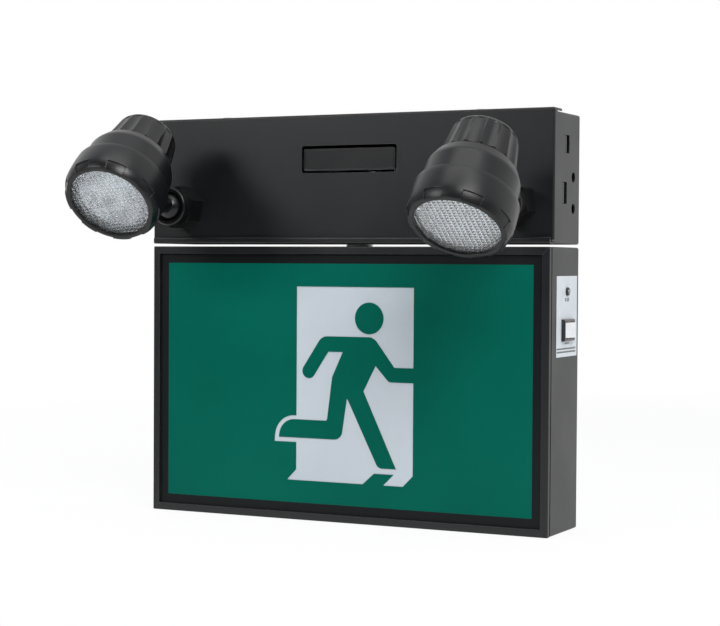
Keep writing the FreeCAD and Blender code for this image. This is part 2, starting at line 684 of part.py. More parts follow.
def transformer():
    """Small charging transformer: lamination stack, coil and foot strap on the box's floor."""
    width, height, stack = LAMINATION
    middle_y = MIDDLE_DEPTH
    base = BOX_FLOOR + TRANSFORMER_FOOT
    foot = slab(spread(TRANSFORMER_X, width + 2 * TRANSFORMER_EAR), spread(middle_y, stack),
                (BOX_FLOOR, base))
    core = slab(spread(TRANSFORMER_X, width), spread(middle_y, stack), (base, base + height))
    coil = prism(rectangle(spread(TRANSFORMER_X, COIL_WIDTH), spread(middle_y, COIL_LENGTH),
                           COIL_CORNER), "xy",
                 base + (height - COIL_HEIGHT) / 2, base + (height + COIL_HEIGHT) / 2)
    return fused([foot, core, coil])


def terminal_block():
    """Three-pole screw terminal on the back wall beside the wire entry."""
    width, depth, height = TERMINAL_BLOCK
    z = BOX_BOTTOM + TERMINAL_BLOCK_ABOVE
    body = slab(spread(TERMINAL_BLOCK_X, width), (BACK_FACE - depth, BACK_FACE), spread(z, height))
    pitch = width / TERMINAL_POLES
    wells = [rod(TERMINAL_WELL_RADIUS,
                 (TERMINAL_BLOCK_X + (k - (TERMINAL_POLES - 1) / 2) * pitch, BACK_FACE - depth, z),
                 (0, 1, 0), TERMINAL_WELL_DEPTH) for k in range(TERMINAL_POLES)]
    grooves = [slab(spread(TERMINAL_BLOCK_X + (k - TERMINAL_POLES / 2) * pitch, SHEET),
                    (BACK_FACE - depth, BACK_FACE - depth / 2), spread(z, height + SHEET))
               for k in range(1, TERMINAL_POLES)]
    return body.cut(wells + grooves)


def entry_bushing():
    """Snap bushing that lines the wire entry, flush with the wall side."""
    barrel = ENTRY_RADIUS - BUSHING_FIT
    sleeve = BUSHING_BORE_RADIUS + BUSHING_WALL
    return turned([
        (0, BUSHING_BORE_RADIUS), (0, barrel), (BACK_FACE, barrel),
        (BACK_FACE, BUSHING_FLANGE_RADIUS),
        (BACK_FACE - BUSHING_FLANGE, BUSHING_FLANGE_RADIUS, BUSHING_EDGE),
        (BACK_FACE - BUSHING_FLANGE, sleeve), (-BUSHING_LENGTH, sleeve),
        (-BUSHING_LENGTH, BUSHING_BORE_RADIUS),
    ])


# ---- nipple between the boxes -----------------------------------------------------------------
def join_nipple():
    """Hollow threaded nipple; its shoulder keeps the boxes apart."""
    low = SIGN_TOP - SHEET - NIPPLE_REACH
    length = UNIT_GAP + 2 * (SHEET + NIPPLE_REACH)
    at = (0, MIDDLE_DEPTH)
    stem = rod(NIPPLE_RADIUS, (*at, low), (0, 0, 1), length)
    shoulder = rod(NIPPLE_SHOULDER, (*at, SIGN_TOP), (0, 0, 1), UNIT_GAP)
    return fused([stem, shoulder]).cut(rod(NIPPLE_BORE, (*at, low), (0, 0, 1), length))


def join_locknuts():
    bore = NIPPLE_RADIUS + SNUG
    upper = hex_nut(LOCKNUT_FLATS, LOCKNUT_HEIGHT, bore, (0, MIDDLE_DEPTH, BOX_FLOOR), (0, 0, 1))
    lower = hex_nut(LOCKNUT_FLATS, LOCKNUT_HEIGHT, bore, (0, MIDDLE_DEPTH, SIGN_TOP - SHEET), (0, 0, -1))
    return Part.makeCompound([upper, lower])


# ---- sign box ---------------------------------------------------------------------------------
def sign_slab(inset, near, far):
    """Box over the sign's face, drawn in from its edges, between two depths behind the front."""
    return slab((-HALF + inset, HALF - inset), (FRONT + near, FRONT + far),
                (SIGN_BOTTOM + inset, SIGN_TOP - inset))


def sign_ring(outer_inset, inner_inset, near, far):
    """Rectangular ring over the sign's face, between two insets and two depths."""
    return sign_slab(outer_inset, near, far).cut(sign_slab(inner_inset, near - SHEET, far + SHEET))


def sign_box():
    """Folded steel box of the sign, with its nipple, wall-screw, indicator and switch openings."""
    shell = folded_tray((-HALF, HALF), (FRONT + FRAME_FLANGE + FRAME_SEAM, 0), (SIGN_BOTTOM, SIGN_TOP))
    cuts = [rod(NIPPLE_RADIUS + NIPPLE_HOLE_GAP, (0, MIDDLE_DEPTH, SIGN_TOP - 2 * SHEET), (0, 0, 1),
                3 * SHEET)]
    for x in spread(0, WALL_SCREW_SPACING):
        cuts.append(rod(WALL_SCREW_RADIUS, (x, -2 * SHEET, SIGN_BOTTOM + SIGN_SCREW_HEIGHT), (0, 1, 0),
                        3 * SHEET))
    cuts.append(rod(HOLDER_BARREL + SNUG, (HALF - 2 * SHEET, CONTROL_Y, SIGN_TOP - INDICATOR_BELOW_TOP),
                    (1, 0, 0), 3 * SHEET))
    cuts.append(switch_cutout(SWITCH_GAP))
    return shell.cut(cuts)


def switch_cutout(gap):
    """Space of the switch's body through the end wall and the label."""
    return slab((HALF - SWITCH_INSIDE, LABEL_FACE + SHEET), spread(CONTROL_Y, SWITCH_BODY[0] + 2 * gap),
                spread(SIGN_TOP - SWITCH_BELOW_TOP, SWITCH_BODY[1] + 2 * gap))


def face_frame():
    """Mitred frame: front lip, short outer flange, inner leg in the box and a step to the legend."""
    leg = SHEET + TOUCH
    outer = sign_slab(0, 0, FRAME_FLANGE)
    front = outer.BoundBox.YMin
    outer = outer.makeFillet(FRAME_EDGE, edges_where(outer, lambda b: b.YMin < front + SNUG))
    lip_and_flange = outer.cut([sign_slab(FRAME_LIP, -SHEET, FRAME_FLANGE + SHEET),
                                sign_slab(FRAME_SHEET, FRAME_SHEET, FRAME_FLANGE + SHEET)])
    inner_leg = sign_ring(leg, leg + FRAME_SHEET, FRAME_SHEET / 2, FRAME_LEG)
    step = sign_ring(FRAME_LIP - FRAME_SHEET, FRAME_LIP, 0, FRAME_RECESS)
    frame = fused([lip_and_flange, inner_leg, step])
    grooves = []
    for x, z, turn in ((-HALF, SIGN_TOP, 1), (HALF, SIGN_TOP, -1), (-HALF, SIGN_BOTTOM, -1),
                       (HALF, SIGN_BOTTOM, 1)):
        groove = slab(spread(x, 4 * FRAME_LIP), (FRONT - SHEET, FRONT + MITRE_DEPTH), spread(z, MITRE_WIDTH))
        groove.rotate(Vector(x, FRONT, z), Vector(0, 1, 0), 45 * turn)
        grooves.append(groove)
    return frame.cut(grooves)


def legend_prism(points):
    """Film-thick prism of an outline given below the sign's top."""
    placed = [(point[0], point[1] + SIGN_TOP, *point[2:]) for point in points]
    near = FRONT + FRAME_RECESS
    return prism(placed, "xz", near, near + FILM)


def legend_inset():
    """How far in the panel's edge lies: just inside the frame's leg."""
    return SHEET + TOUCH + FRAME_SHEET + TOUCH


def legend_border():
    """Black mask round the green field."""
    return sign_ring(legend_inset(), LEGEND_MARGIN, FRAME_RECESS, FRAME_RECESS + FILM)


def legend_green():
    """Green field with the doorway cut out and the running man left in it."""
    field = sign_slab(LEGEND_MARGIN, FRAME_RECESS, FRAME_RECESS + FILM)
    white = legend_prism(DOORWAY).fuse(legend_prism(FOOT_HALO))
    x, z, radius = MAN_HEAD
    head = rod(radius, (x, FRONT + FRAME_RECESS, SIGN_TOP + z), (0, 1, 0), FILM)
    return fused([field.cut(white), legend_prism(MAN), head])


def diffuser_panel():
    """White acrylic sheet behind the films."""
    near = FRAME_RECESS + FILM
    return sign_slab(legend_inset(), near, near + DIFFUSER)


def tray_front():
    """Depth of the panel's back, where the light tray begins."""
    return FRAME_RECESS + FILM + DIFFUSER


def light_tray():
    """White reflector tray: flange behind the panel, four sloping walls and a flat back."""
    def frustum(shrink, reach):
        wires = []
        for depth, slope in ((0, 0), (TRAY_DEPTH, 1)):
            inset = legend_inset() + TRAY_FLANGE + shrink
            x = HALF - inset - slope * TRAY_SLOPE_X
            z = SIGN_HEIGHT / 2 - inset - slope * TRAY_SLOPE_Z
            y = FRONT + tray_front() + depth + (reach if slope else 0)
            wires.append(rounded_wire(rectangle((-x, x), (SIGN_MIDDLE - z, SIGN_MIDDLE + z)),
                                      lambda u, v, y=y: Vector(u, y, v)))
        return Part.makeLoft(wires, True)
    flange = sign_slab(legend_inset() + TOUCH, tray_front(), tray_front() + TRAY_SHEET)
    return flange.fuse(frustum(0, 0)).removeSplitter().cut(frustum(TRAY_SHEET, -TRAY_SHEET))


def led_strip(side):
    """LED strip on the tray's back, above or below the middle."""
    back = FRONT + tray_front() + TRAY_DEPTH - TRAY_SHEET
    z = SIGN_MIDDLE + side * STRIP_OFFSET
    front = back - STRIP_THICK
    board = slab(spread(0, STRIP_LENGTH), (front, back), spread(z, STRIP_WIDTH))
    pitch = STRIP_LENGTH / STRIP_LEDS
    lights = [slab(spread((k - (STRIP_LEDS - 1) / 2) * pitch, LED_SIDE), (front - LED_HEIGHT, front),
                   spread(z, LED_SIDE))
              for k in range(STRIP_LEDS)]
    return fused([board] + lights)


# ---- label, indicator and test switch ---------------------------------------------------------
def side_label():
    """White label on the right end, cut out for the indicator and the switch."""
    top = SIGN_TOP - LABEL_BELOW_TOP
    sheet = slab((HALF, LABEL_FACE), spread(CONTROL_Y, LABEL_WIDTH), (top - LABEL_HEIGHT, top))
    hole = rod(HOLDER_BARREL + SNUG, (HALF - SHEET, CONTROL_Y, SIGN_TOP - INDICATOR_BELOW_TOP), (1, 0, 0),
               3 * SHEET)
    return sheet.cut([hole, switch_cutout(SWITCH_GAP)])


def along_x(shape, z):
    """Stands a piece that was turned about Y on the right end: its -Y becomes +X."""
    turn = Rotation(Vector(0, 0, 1), 90)
    shape.Placement = Placement(Vector(LABEL_FACE, CONTROL_Y, z), turn)
    return shape


def indicator_holder():
    """Black clip of the indicator: small domed collar outside, barrel inside."""
    profile = [(-HOLDER_PROUD, LED_RADIUS + SNUG), (-HOLDER_PROUD, HOLDER_RADIUS, HOLDER_EDGE),
               (0, HOLDER_RADIUS),
               (0, HOLDER_BARREL), (HOLDER_INSIDE, HOLDER_BARREL), (HOLDER_INSIDE, LED_RADIUS + SNUG)]
    return along_x(turned(profile), SIGN_TOP - INDICATOR_BELOW_TOP)


def indicator_led():
    """Round-nosed lamp in the clip."""
    tip = -HOLDER_PROUD - LED_PROUD
    profile = [(tip, 0), (tip, LED_RADIUS, LED_RADIUS - SNUG), (HOLDER_INSIDE, LED_RADIUS), (HOLDER_INSIDE, 0)]
    return along_x(turned(profile), SIGN_TOP - INDICATOR_BELOW_TOP)


def rocker_pivot():
    return Vector(LABEL_FACE + ROCKER_PIVOT_PROUD, CONTROL_Y, SIGN_TOP - SWITCH_BELOW_TOP)


def switch_body():
    """Body and black frame of the test switch, with the rocker's well and pivot holes."""
    z = SIGN_TOP - SWITCH_BELOW_TOP
    frame = slab((LABEL_FACE, LABEL_FACE + SWITCH_PROUD), spread(CONTROL_Y, SWITCH_FRAME[0]),
                 spread(z, SWITCH_FRAME[1]))
    face = frame.BoundBox.XMax
    frame = frame.makeChamfer(SWITCH_EDGE, edges_where(frame, lambda b: b.XMin > face - SNUG))
    body = slab((HALF - SWITCH_INSIDE, LABEL_FACE), spread(CONTROL_Y, SWITCH_BODY[0]),
                spread(z, SWITCH_BODY[1]))
    length, thick, wide = SWITCH_BLADE
    blades = [slab((HALF - SWITCH_INSIDE - length, HALF - SWITCH_INSIDE), spread(CONTROL_Y + shift, thick),
                   spread(z, wide)) for shift in spread(0, SWITCH_BLADE_PITCH * (SWITCH_BLADES - 1))]
    well = slab((LABEL_FACE - ROCKER_WELL, face + SHEET), spread(CONTROL_Y, ROCKER[0] + 2 * ROCKER_CLEARANCE),
                spread(z, ROCKER[1] + 2 * ROCKER_CLEARANCE))
    pivot = rocker_pivot()
    reach = ROCKER[1] / 2 + ROCKER_STUB + SNUG
    holes = rod(ROCKER_STUB_RADIUS + SNUG, (pivot.x, pivot.y, z - reach), (0, 0, 1), 2 * reach)
    return fused([frame, body] + blades).cut([well, holes])


def test_rocker():
    """Momentary rocker: shallow V face, rear end raised at rest, pivot stubs at its sides."""
    pivot = rocker_pivot()
    half = ROCKER[0] / 2
    tilt = math.tan(math.radians(ROCKER_ANGLE))
    outline = [(-ROCKER_BELOW, -half * ROCKER_TAPER), (ROCKER_SKIRT, -half),
               (ROCKER_DIP - half * tilt, -half, ROCKER_EDGE), (ROCKER_DIP, 0),
               (ROCKER_HEIGHT, half - ROCKER_NOSE, ROCKER_EDGE), (ROCKER_SKIRT, half),
               (-ROCKER_BELOW, half * ROCKER_TAPER)]
    body = prism(outline, "xy", *spread(pivot.z, ROCKER[1]))
    body.translate(Vector(pivot.x, pivot.y, 0))
    reach = ROCKER[1] / 2 + ROCKER_STUB
    stubs = rod(ROCKER_STUB_RADIUS, (pivot.x, pivot.y, pivot.z - reach), (0, 0, 1), 2 * reach)
    return fused([body, stubs])


# ---- swivel of a lamp head --------------------------------------------------------------------
def lamp_x(side):
    return SIDES[side]["sign"] * (HALF - LAMP_FROM_END)


def at_base(shape, side):
    """Stands a piece turned about Y, with y = 0 at the cover's face, on its lamp's base."""
    shape.Placement = Placement(Vector(lamp_x(side), COVER_FACE, LAMP_Z), Rotation())
    return shape


def ball_width(forward, clearance):
    """Radius that clears the ball at a distance forward of the pivot."""
    return math.sqrt(BALL_RADIUS ** 2 - forward ** 2) + clearance


def lamp_base(side):
    """Hexagonal base with a threaded tail through the cover and a threaded boss for the ring."""
    block = prism(hexagon(HEX_FLATS, SIDES[side]["hexagon"]), "xz", 0, -HEX_HEIGHT)
    edge = HEX_FLATS / 2 + HEX_EDGE
    trim = turned([(0, 0), (0, HEX_FLATS), (-HEX_HEIGHT + HEX_EDGE, HEX_FLATS), (-HEX_HEIGHT, edge),
                   (-HEX_HEIGHT, 0)])
    core = turned([(TAIL_LENGTH, TAIL_BORE), (TAIL_LENGTH, TAIL_RADIUS), (-BASE_FLOOR, TAIL_RADIUS),
                   (-BASE_FLOOR, BOSS_RADIUS), (-BOSS_TOP, BOSS_RADIUS), (-BOSS_TOP, TAIL_BORE)])
    bore = rod(BASE_BORE, (0, -BASE_FLOOR, 0), (0, -1, 0), HEX_FLATS)
    wires = rod(TAIL_BORE, (0, TAIL_LENGTH, 0), (0, -1, 0), HEX_FLATS + TAIL_LENGTH)
    return at_base(fused([block.common(trim), core]).cut([bore, wires]), side)


def base_locknut(side):
    """Locknut on the tail, behind the cover."""
    nut = hex_nut(LOCKNUT_FLATS, LOCKNUT_HEIGHT, TAIL_RADIUS + SNUG, (0, SHEET, 0), (0, 1, 0))
    nut.translate(Vector(lamp_x(side), COVER_FACE, LAMP_Z))
    return nut


def ball_seat(side):
    """Friction cup behind the ball; it turns with the lamp in the base's bore."""
    radius = BASE_BORE - BALL_CLEARANCE
    cup = turned([(-BASE_FLOOR, WIRE_HOLE * 2), (-BASE_FLOOR, radius), (-SEAT_TOP, radius),
                  (-SEAT_TOP, WIRE_HOLE * 2)])
    ball = Part.makeSphere(BALL_RADIUS + BALL_CLEARANCE, Vector(0, -PIVOT_FORWARD, 0))
    return at_base(cup.cut(ball), side)


def clamp_ring(side):
    """Threaded ring over the boss; its narrow waist holds the ball in the seat."""
    shelf = PIVOT_FORWARD + RING_SHELF
    waist = PIVOT_FORWARD + RING_NARROW
    thread = BOSS_RADIUS + SNUG
    profile = [
        (-HEX_HEIGHT - SNUG, thread), (-HEX_HEIGHT - SNUG, RING_RADIUS, RING_MOUTH_EDGE),
        (-RING_FRONT, RING_RADIUS, RING_EDGE), (-RING_FRONT, RING_FLARE, RING_MOUTH_EDGE),
        (-waist, ball_width(RING_NARROW, BALL_CLEARANCE)),
        (-shelf, ball_width(RING_SHELF, BALL_CLEARANCE)), (-shelf, thread),
    ]
    return at_base(turned(profile), side)


# ---- lamp head --------------------------------------------------------------------------------
def in_head(shape, side):
    """Takes a piece from the head's own frame (pivot at 0, lamp facing -Y) to where it is set."""
    aim = SIDES[side]
    turn = Rotation(Vector(0, 1, 0), aim["turn"]).multiply(Rotation(Vector(1, 0, 0), aim["tilt"]))
    place = Placement(Vector(lamp_x(side), PIVOT_Y, LAMP_Z), turn)
    shape.Placement = place.multiply(shape.Placement)
    return shape


def lamp_turned(profile):
    """Piece turned about the lamp's axis from (station, radius) points."""
    solid = turned([(station - HEAD_FORWARD, *rest) for station, *rest in profile])
    solid.translate(Vector(0, 0, HEAD_OFFSET))
    return solid


def along_neck(shape):
    """Leans a piece built towards -Y into the neck's direction."""
    shape.rotate(Vector(0, 0, 0), Vector(1, 0, 0), -NECK_ANGLE)
    return shape


def ball_stem(side):
    """Ball with a flared neck, a pad against the lamp body and a spigot in it."""
    root, taper, foot = NECK_ROUNDS
    neck = turned([(0, 0), (0, NECK_ROOT), (-NECK_ROOT_END, NECK_ROOT, root),
                   (-NECK_TAPER_END, NECK_RADIUS, taper), (-NECK_LENGTH + PAD_THICK, NECK_RADIUS, foot),
                   (-NECK_LENGTH + PAD_THICK, PAD_RADIUS, PAD_EDGE), (-NECK_LENGTH, PAD_RADIUS),
                   (-NECK_LENGTH, SPIGOT_RADIUS), (-NECK_LENGTH - SPIGOT_LENGTH, SPIGOT_RADIUS),
                   (-NECK_LENGTH - SPIGOT_LENGTH, 0)])
    stem = fused([Part.makeSphere(BALL_RADIUS), neck])
    channel = rod(WIRE_HOLE, (0, BALL_RADIUS, 0), (0, -1, 0), BALL_RADIUS + NECK_LENGTH + 2 * SPIGOT_LENGTH)
    return in_head(along_neck(stem.cut(channel)), side)


def body_front():
    """Station of the housing's front edge, behind the lens and its gasket."""
    return BEZEL_LIP + LENS_THICK + GASKET_THICK


def from_body(profile):
    """Profile whose radii are given as steps from the body's radius."""
    return [(station, BODY_RADIUS + step, *rest) for station, step, *rest in profile]


def lamp_body(side):
    """Round housing with a boss for the neck and a neck for the rear cap."""
    cavity_radius = BODY_RADIUS - BODY_WALL
    bore = CAP_NECK_RADIUS - CAP_NECK_WALL
    outer = lamp_turned([(body_front(), 0), (body_front(), BODY_RADIUS), (BODY_SHOULDER, BODY_RADIUS),
                         *from_body(BODY_PROFILE), (BODY_BACK, CAP_NECK_RADIUS),
                         (BODY_BACK + CAP_NECK_LENGTH, CAP_NECK_RADIUS), (BODY_BACK + CAP_NECK_LENGTH, 0)])
    bend, draw = CAVITY_ROUNDS
    ahead, floor, behind = body_front() - 1, BODY_BACK - BODY_WALL, BODY_BACK + CAP_NECK_LENGTH + 1
    cavity = lamp_turned([(ahead, 0), (ahead, cavity_radius), (CAVITY_BEND, cavity_radius, bend),
                          (floor, cavity_radius - CAVITY_DRAW, draw), (floor, bore), (behind, bore),
                          (behind, 0)])
    boss = along_neck(rod(PAD_RADIUS, (0, -NECK_LENGTH, 0), (0, -1, 0), 2 * PAD_RADIUS))
    socket = along_neck(rod(SPIGOT_RADIUS + SNUG, (0, -NECK_LENGTH + 1, 0), (0, -1, 0),
                            SPIGOT_LENGTH + BODY_RADIUS / 2))
    return in_head(fused([outer, boss]).cut([cavity, socket]), side)


def flute():
    """Cutter of one flute: a tapering block along the cap's slope, above the lamp's axis."""
    start, end = BODY_BACK - FLUTE_START, BODY_BACK + CAP_LENGTH - FLUTE_END
    slope = (CAP_BASE_RADIUS - CAP_TIP_RADIUS) / CAP_LENGTH

    def corners(station, width):
        floor = CAP_BASE_RADIUS - slope * (station - BODY_BACK) - FLUTE_DEPTH
        y = station - HEAD_FORWARD
        section = rectangle(spread(0, width), (floor, floor + FLUTE_CUTTER))
        return rounded_wire(section, lambda u, v: Vector(u, y, v))
    return Part.makeLoft([corners(start, FLUTE_WIDTH), corners(end, FLUTE_TIP_WIDTH)], True)


def rear_cap(side):
    """Fluted cap screwed over the housing's rear neck."""
    back = BODY_BACK + CAP_LENGTH
    inner = CAP_NECK_RADIUS + NIPPLE_HOLE_GAP
    hollow = CAP_TIP_RADIUS - CAP_WALL - CAP_RIM / 2
    floor = BODY_BACK + CAP_NECK_LENGTH + TOUCH
    solid = turned([(y - HEAD_FORWARD, *rest) for y, *rest in [
        (BODY_BACK + SNUG, inner), (BODY_BACK + SNUG, CAP_BASE_RADIUS, CAP_EDGE),
        (back, CAP_TIP_RADIUS, CAP_RIM),
        (back, 0), (back - CAP_WALL, 0), (back - CAP_WALL, hollow), (floor, hollow), (floor, inner)]])
    cutters = []
    for k in range(CAP_FLUTES):
        cutter = flute()
        cutter.rotate(Vector(0, 0, 0), Vector(0, 1, 0), 360 / CAP_FLUTES * (k + 0.5))
        cutters.append(cutter)
    cap = solid.cut(cutters)
    cap.translate(Vector(0, 0, HEAD_OFFSET))
    return in_head(cap, side)


def bezel(side):
    """Twist-on bezel: bulged ring with a front lip and a castellated front edge."""
    outer = from_body(BEZEL_PROFILE)
    solid = turned([(station - HEAD_FORWARD, *rest) for station, *rest in [
        (0, WINDOW_RADIUS), *((s, r, BEZEL_ROUND if 0 < s < BEZEL_LENGTH else 0) for s, r in outer),
        (BEZEL_LENGTH, BEZEL_WALL_RADIUS), (BEZEL_LIP, BEZEL_WALL_RADIUS), (BEZEL_LIP, WINDOW_RADIUS)]])
    floor = outer[0][1] - BEZEL_NOTCH_DEPTH / 2
    clear = 2 * BODY_RADIUS
    step = 180 / BEZEL_NOTCHES
    section = Part.Face(rounded_wire(
        [(-SHEET, floor), (BEZEL_NOTCH_LENGTH, floor + BEZEL_NOTCH_DEPTH), (BEZEL_NOTCH_LENGTH, clear),
         (-SHEET, clear)], lambda s, r: Vector(r, s - HEAD_FORWARD, 0)))
    notches = []
    for k in range(BEZEL_NOTCHES):
        notch = section.revolve(Vector(0, 0, 0), Vector(0, 1, 0), step)
        notch.rotate(Vector(0, 0, 0), Vector(0, 1, 0), 2 * step * k)
        notches.append(notch)
    ring = solid.cut(notches)
    ring.translate(Vector(0, 0, HEAD_OFFSET))
    return in_head(ring, side)


def lens(side):
    """Flat disc of the prismatic lens."""
    radius = BEZEL_WALL_RADIUS - SLIP
    front, back = BEZEL_LIP, BEZEL_LIP + LENS_THICK
    return in_head(lamp_turned([(front, 0), (front, radius), (back, radius), (back, 0)]), side)


def lens_gasket(side):
    front = BEZEL_LIP + LENS_THICK
    back = front + GASKET_THICK
    bore = WINDOW_RADIUS + GASKET_SET_BACK
    return in_head(lamp_turned([(front, bore), (front, BODY_RADIUS), (back, BODY_RADIUS), (back, bore)]),
                   side)


def reflector_back():
    return body_front() + REFLECTOR_DEPTH


def reflector(side):
    """Bowl reflector hung by its flange behind the gasket."""
    front = body_front()
    back = reflector_back()
    flange = BODY_RADIUS - BODY_WALL - SLIP
    middle, belly = front + REFLECTOR_BELLY[0], BODY_RADIUS - REFLECTOR_BELLY[1]
    wall, mouth = REFLECTOR_WALL, BODY_RADIUS - REFLECTOR_MOUTH_INSET
    return in_head(lamp_turned([
        (front, mouth - wall), (front, flange), (front + REFLECTOR_FLANGE, flange),
        (front + REFLECTOR_FLANGE, mouth, BEND), (middle, belly, REFLECTOR_CURVE),
        (back, REFLECTOR_THROAT + wall), (back, REFLECTOR_THROAT),
        (middle, belly - wall, REFLECTOR_CURVE)]), side)


def led_board(side):
    """Round board with the lamp's LED, against the reflector's throat."""
    front = reflector_back()
    board = lamp_turned([(front, 0), (front, LED_BOARD_RADIUS), (front + LED_BOARD_THICK, LED_BOARD_RADIUS),
                         (front + LED_BOARD_THICK, 0)])
    y = front - HEAD_FORWARD
    chip = slab(spread(0, LED_CHIP), (y - LED_CHIP_THICK, y), spread(HEAD_OFFSET, LED_CHIP))
    return in_head(fused([board, chip]), side)


def heat_sink(side):
    """Finned aluminium disc behind the LED board."""
    front = reflector_back() + LED_BOARD_THICK
    back = front + SINK_BASE
    radius, reach = BODY_RADIUS - BODY_WALL - SINK_FIT, BODY_RADIUS - SINK_FIN_INSET
    disc = lamp_turned([(front, 0), (front, radius), (back, radius), (back, 0)])
    y = (front - HEAD_FORWARD, back + SINK_FIN_LENGTH - HEAD_FORWARD)
    keep = lamp_turned([(front, 0), (front, reach), (back + SINK_FIN_LENGTH, reach),
                        (back + SINK_FIN_LENGTH, 0)])
    fins = [slab(spread((k - (SINK_FINS - 1) / 2) * SINK_FIN_PITCH, SINK_FIN_THICK), y,
                 spread(HEAD_OFFSET, 2 * radius)).common(keep) for k in range(SINK_FINS)]
    return in_head(fused([disc] + fins), side)


# ---- export -----------------------------------------------------------------------------------
def pieces():
    """Every piece of the light, by its node's name."""
    made = {
        "battery_box": battery_box(), "battery_cover": battery_cover(), "cover_screws": cover_screws(),
        "nameplate": nameplate(), "battery": battery(), "battery_bracket": battery_bracket(),
        "bracket_nut": bracket_nut(), "charger_board": charger_board(),
        "board_standoffs": board_standoffs(), "transformer": transformer(),
        "terminal_block": terminal_block(), "entry_bushing": entry_bushing(),
        "join_nipple": join_nipple(), "join_locknuts": join_locknuts(),
        "sign_box": sign_box(), "face_frame": face_frame(), "legend_border": legend_border(),
        "legend_green": legend_green(), "diffuser_panel": diffuser_panel(), "light_tray": light_tray(),
        "led_strip_top": led_strip(1), "led_strip_bottom": led_strip(-1), "driver_board": driver_board(),
        "side_label": side_label(), "indicator_holder": indicator_holder(),
        "indicator_led": indicator_led(), "switch_body": switch_body(), "test_rocker": test_rocker(),
    }
    per_head = (lamp_base, base_locknut, ball_seat, clamp_ring, ball_stem, lamp_body, rear_cap, bezel, lens,
                lens_gasket, reflector, led_board, heat_sink)
    for side in SIDES:
        for build in per_head:
            made[f"{side}_{build.__name__}"] = build(side)
    return made


def main():
    os.makedirs("parts", exist_ok=True)
    for name, shape in pieces().items():
        shape.exportStep(f"parts/{name}.step")


main()
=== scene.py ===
"""Looks of the emergency exit light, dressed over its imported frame.

Metres, in the frame's own axes: X along the wall, Y into the wall, Z up.
"""
import json
import math

import bpy
from mathutils import Matrix, Vector


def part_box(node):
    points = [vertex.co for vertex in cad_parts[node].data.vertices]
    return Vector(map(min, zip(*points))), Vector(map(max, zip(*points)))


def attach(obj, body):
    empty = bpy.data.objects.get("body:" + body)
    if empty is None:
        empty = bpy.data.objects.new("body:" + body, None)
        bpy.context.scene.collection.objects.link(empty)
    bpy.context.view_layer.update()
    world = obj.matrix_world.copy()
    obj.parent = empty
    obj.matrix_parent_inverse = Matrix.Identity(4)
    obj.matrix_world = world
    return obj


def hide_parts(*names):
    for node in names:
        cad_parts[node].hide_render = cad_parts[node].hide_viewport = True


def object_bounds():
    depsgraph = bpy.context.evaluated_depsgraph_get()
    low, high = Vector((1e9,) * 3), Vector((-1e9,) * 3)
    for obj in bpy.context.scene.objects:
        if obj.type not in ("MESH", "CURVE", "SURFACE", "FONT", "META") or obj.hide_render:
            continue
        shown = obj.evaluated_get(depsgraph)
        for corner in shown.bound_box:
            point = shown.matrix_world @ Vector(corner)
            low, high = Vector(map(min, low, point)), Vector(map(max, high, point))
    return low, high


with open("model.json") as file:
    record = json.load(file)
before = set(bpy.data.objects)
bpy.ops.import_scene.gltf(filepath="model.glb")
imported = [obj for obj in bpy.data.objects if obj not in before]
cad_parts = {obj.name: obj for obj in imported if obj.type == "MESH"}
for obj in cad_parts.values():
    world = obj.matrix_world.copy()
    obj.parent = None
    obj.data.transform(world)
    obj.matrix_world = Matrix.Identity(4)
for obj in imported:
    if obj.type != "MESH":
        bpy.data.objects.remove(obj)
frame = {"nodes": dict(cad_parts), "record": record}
cad_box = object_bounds()
nodes = frame["nodes"]

MM = 0.001
LAMPS = {                       # degrees down from straight ahead, and round the lamp's base
    "left": {"tilt": 41.6, "turn": -6.0},
    "right": {"tilt": 54.2, "turn": 1.2},
}

# ---- working limits ----------------------------------------------------------------------------
MERGE = 0.002 * MM              # points closer than this are one
ON_PLANE = 0.001 * MM
ON_SURFACE = 0.01 * MM
SMOOTH_ANGLE = 30               # degrees, between faces that shade as one surface
SHARP_ANGLE = 38                # edges sharper than this get a small round

# ---- camera ------------------------------------------------------------------------------------
CAMERA_PLACE = (0.5798, -1.2074, -0.0597)
CAMERA_TURN = (88.487, -0.344, 26.187)
CAMERA_LENS = 91.45
CAMERA_SENSOR = 36.0
CAMERA_NEAR = 0.01

# ---- studio ------------------------------------------------------------------------------------
WHITE = (1.0, 1.0, 1.0, 1.0)
FLOOR_COLOUR = (0.86, 0.86, 0.86, 1.0)
FLOOR_SIZE = 1.1                # a small table: past it the eye sees the white world
FLOOR_RIM = FLOOR_SIZE / 8
FLOOR_PARTS = 96
FLOOR_ROUGHNESS = 0.9
FLOOR_BACK = 0.5                # its middle lies this far behind the light
FLOOR_WHITE = (0.86, 1.0)       # share of plain white seen on the floor, near and far
FLOOR_FADE = (0.25, 0.95)       # metres from its middle over which it grows
WORLD_COLOUR = (0.93, 0.96, 1.0, 1.0)
WORLD_LEVELS = (0.10, 1.0)      # in front of the light and behind it
WORLD_FADE = (-0.55, 0.35)      # share of the way back over which the level grows
WHITE_BEHIND = (0.0, 0.4)       # share of the way back over which mirrors and glass see white
WHITE_BELOW = (0.15, -0.15)     # share of the way up over which glass sees it under the horizon
SOFTBOXES = {                   # place, what it faces, width, height, watts
    "front_right": ((1.1, -1.3, 1.3), (0.0, 0.0, -0.05), 0.9, 0.9, 30.0),
    "overhead": ((0.1, -0.45, 1.5), (0.0, -0.05, -0.05), 1.4, 0.7, 7.0),
    "front_left": ((-0.75, -1.25, 0.55), (0.0, 0.0, 0.0), 0.5, 0.25, 6.0),
}

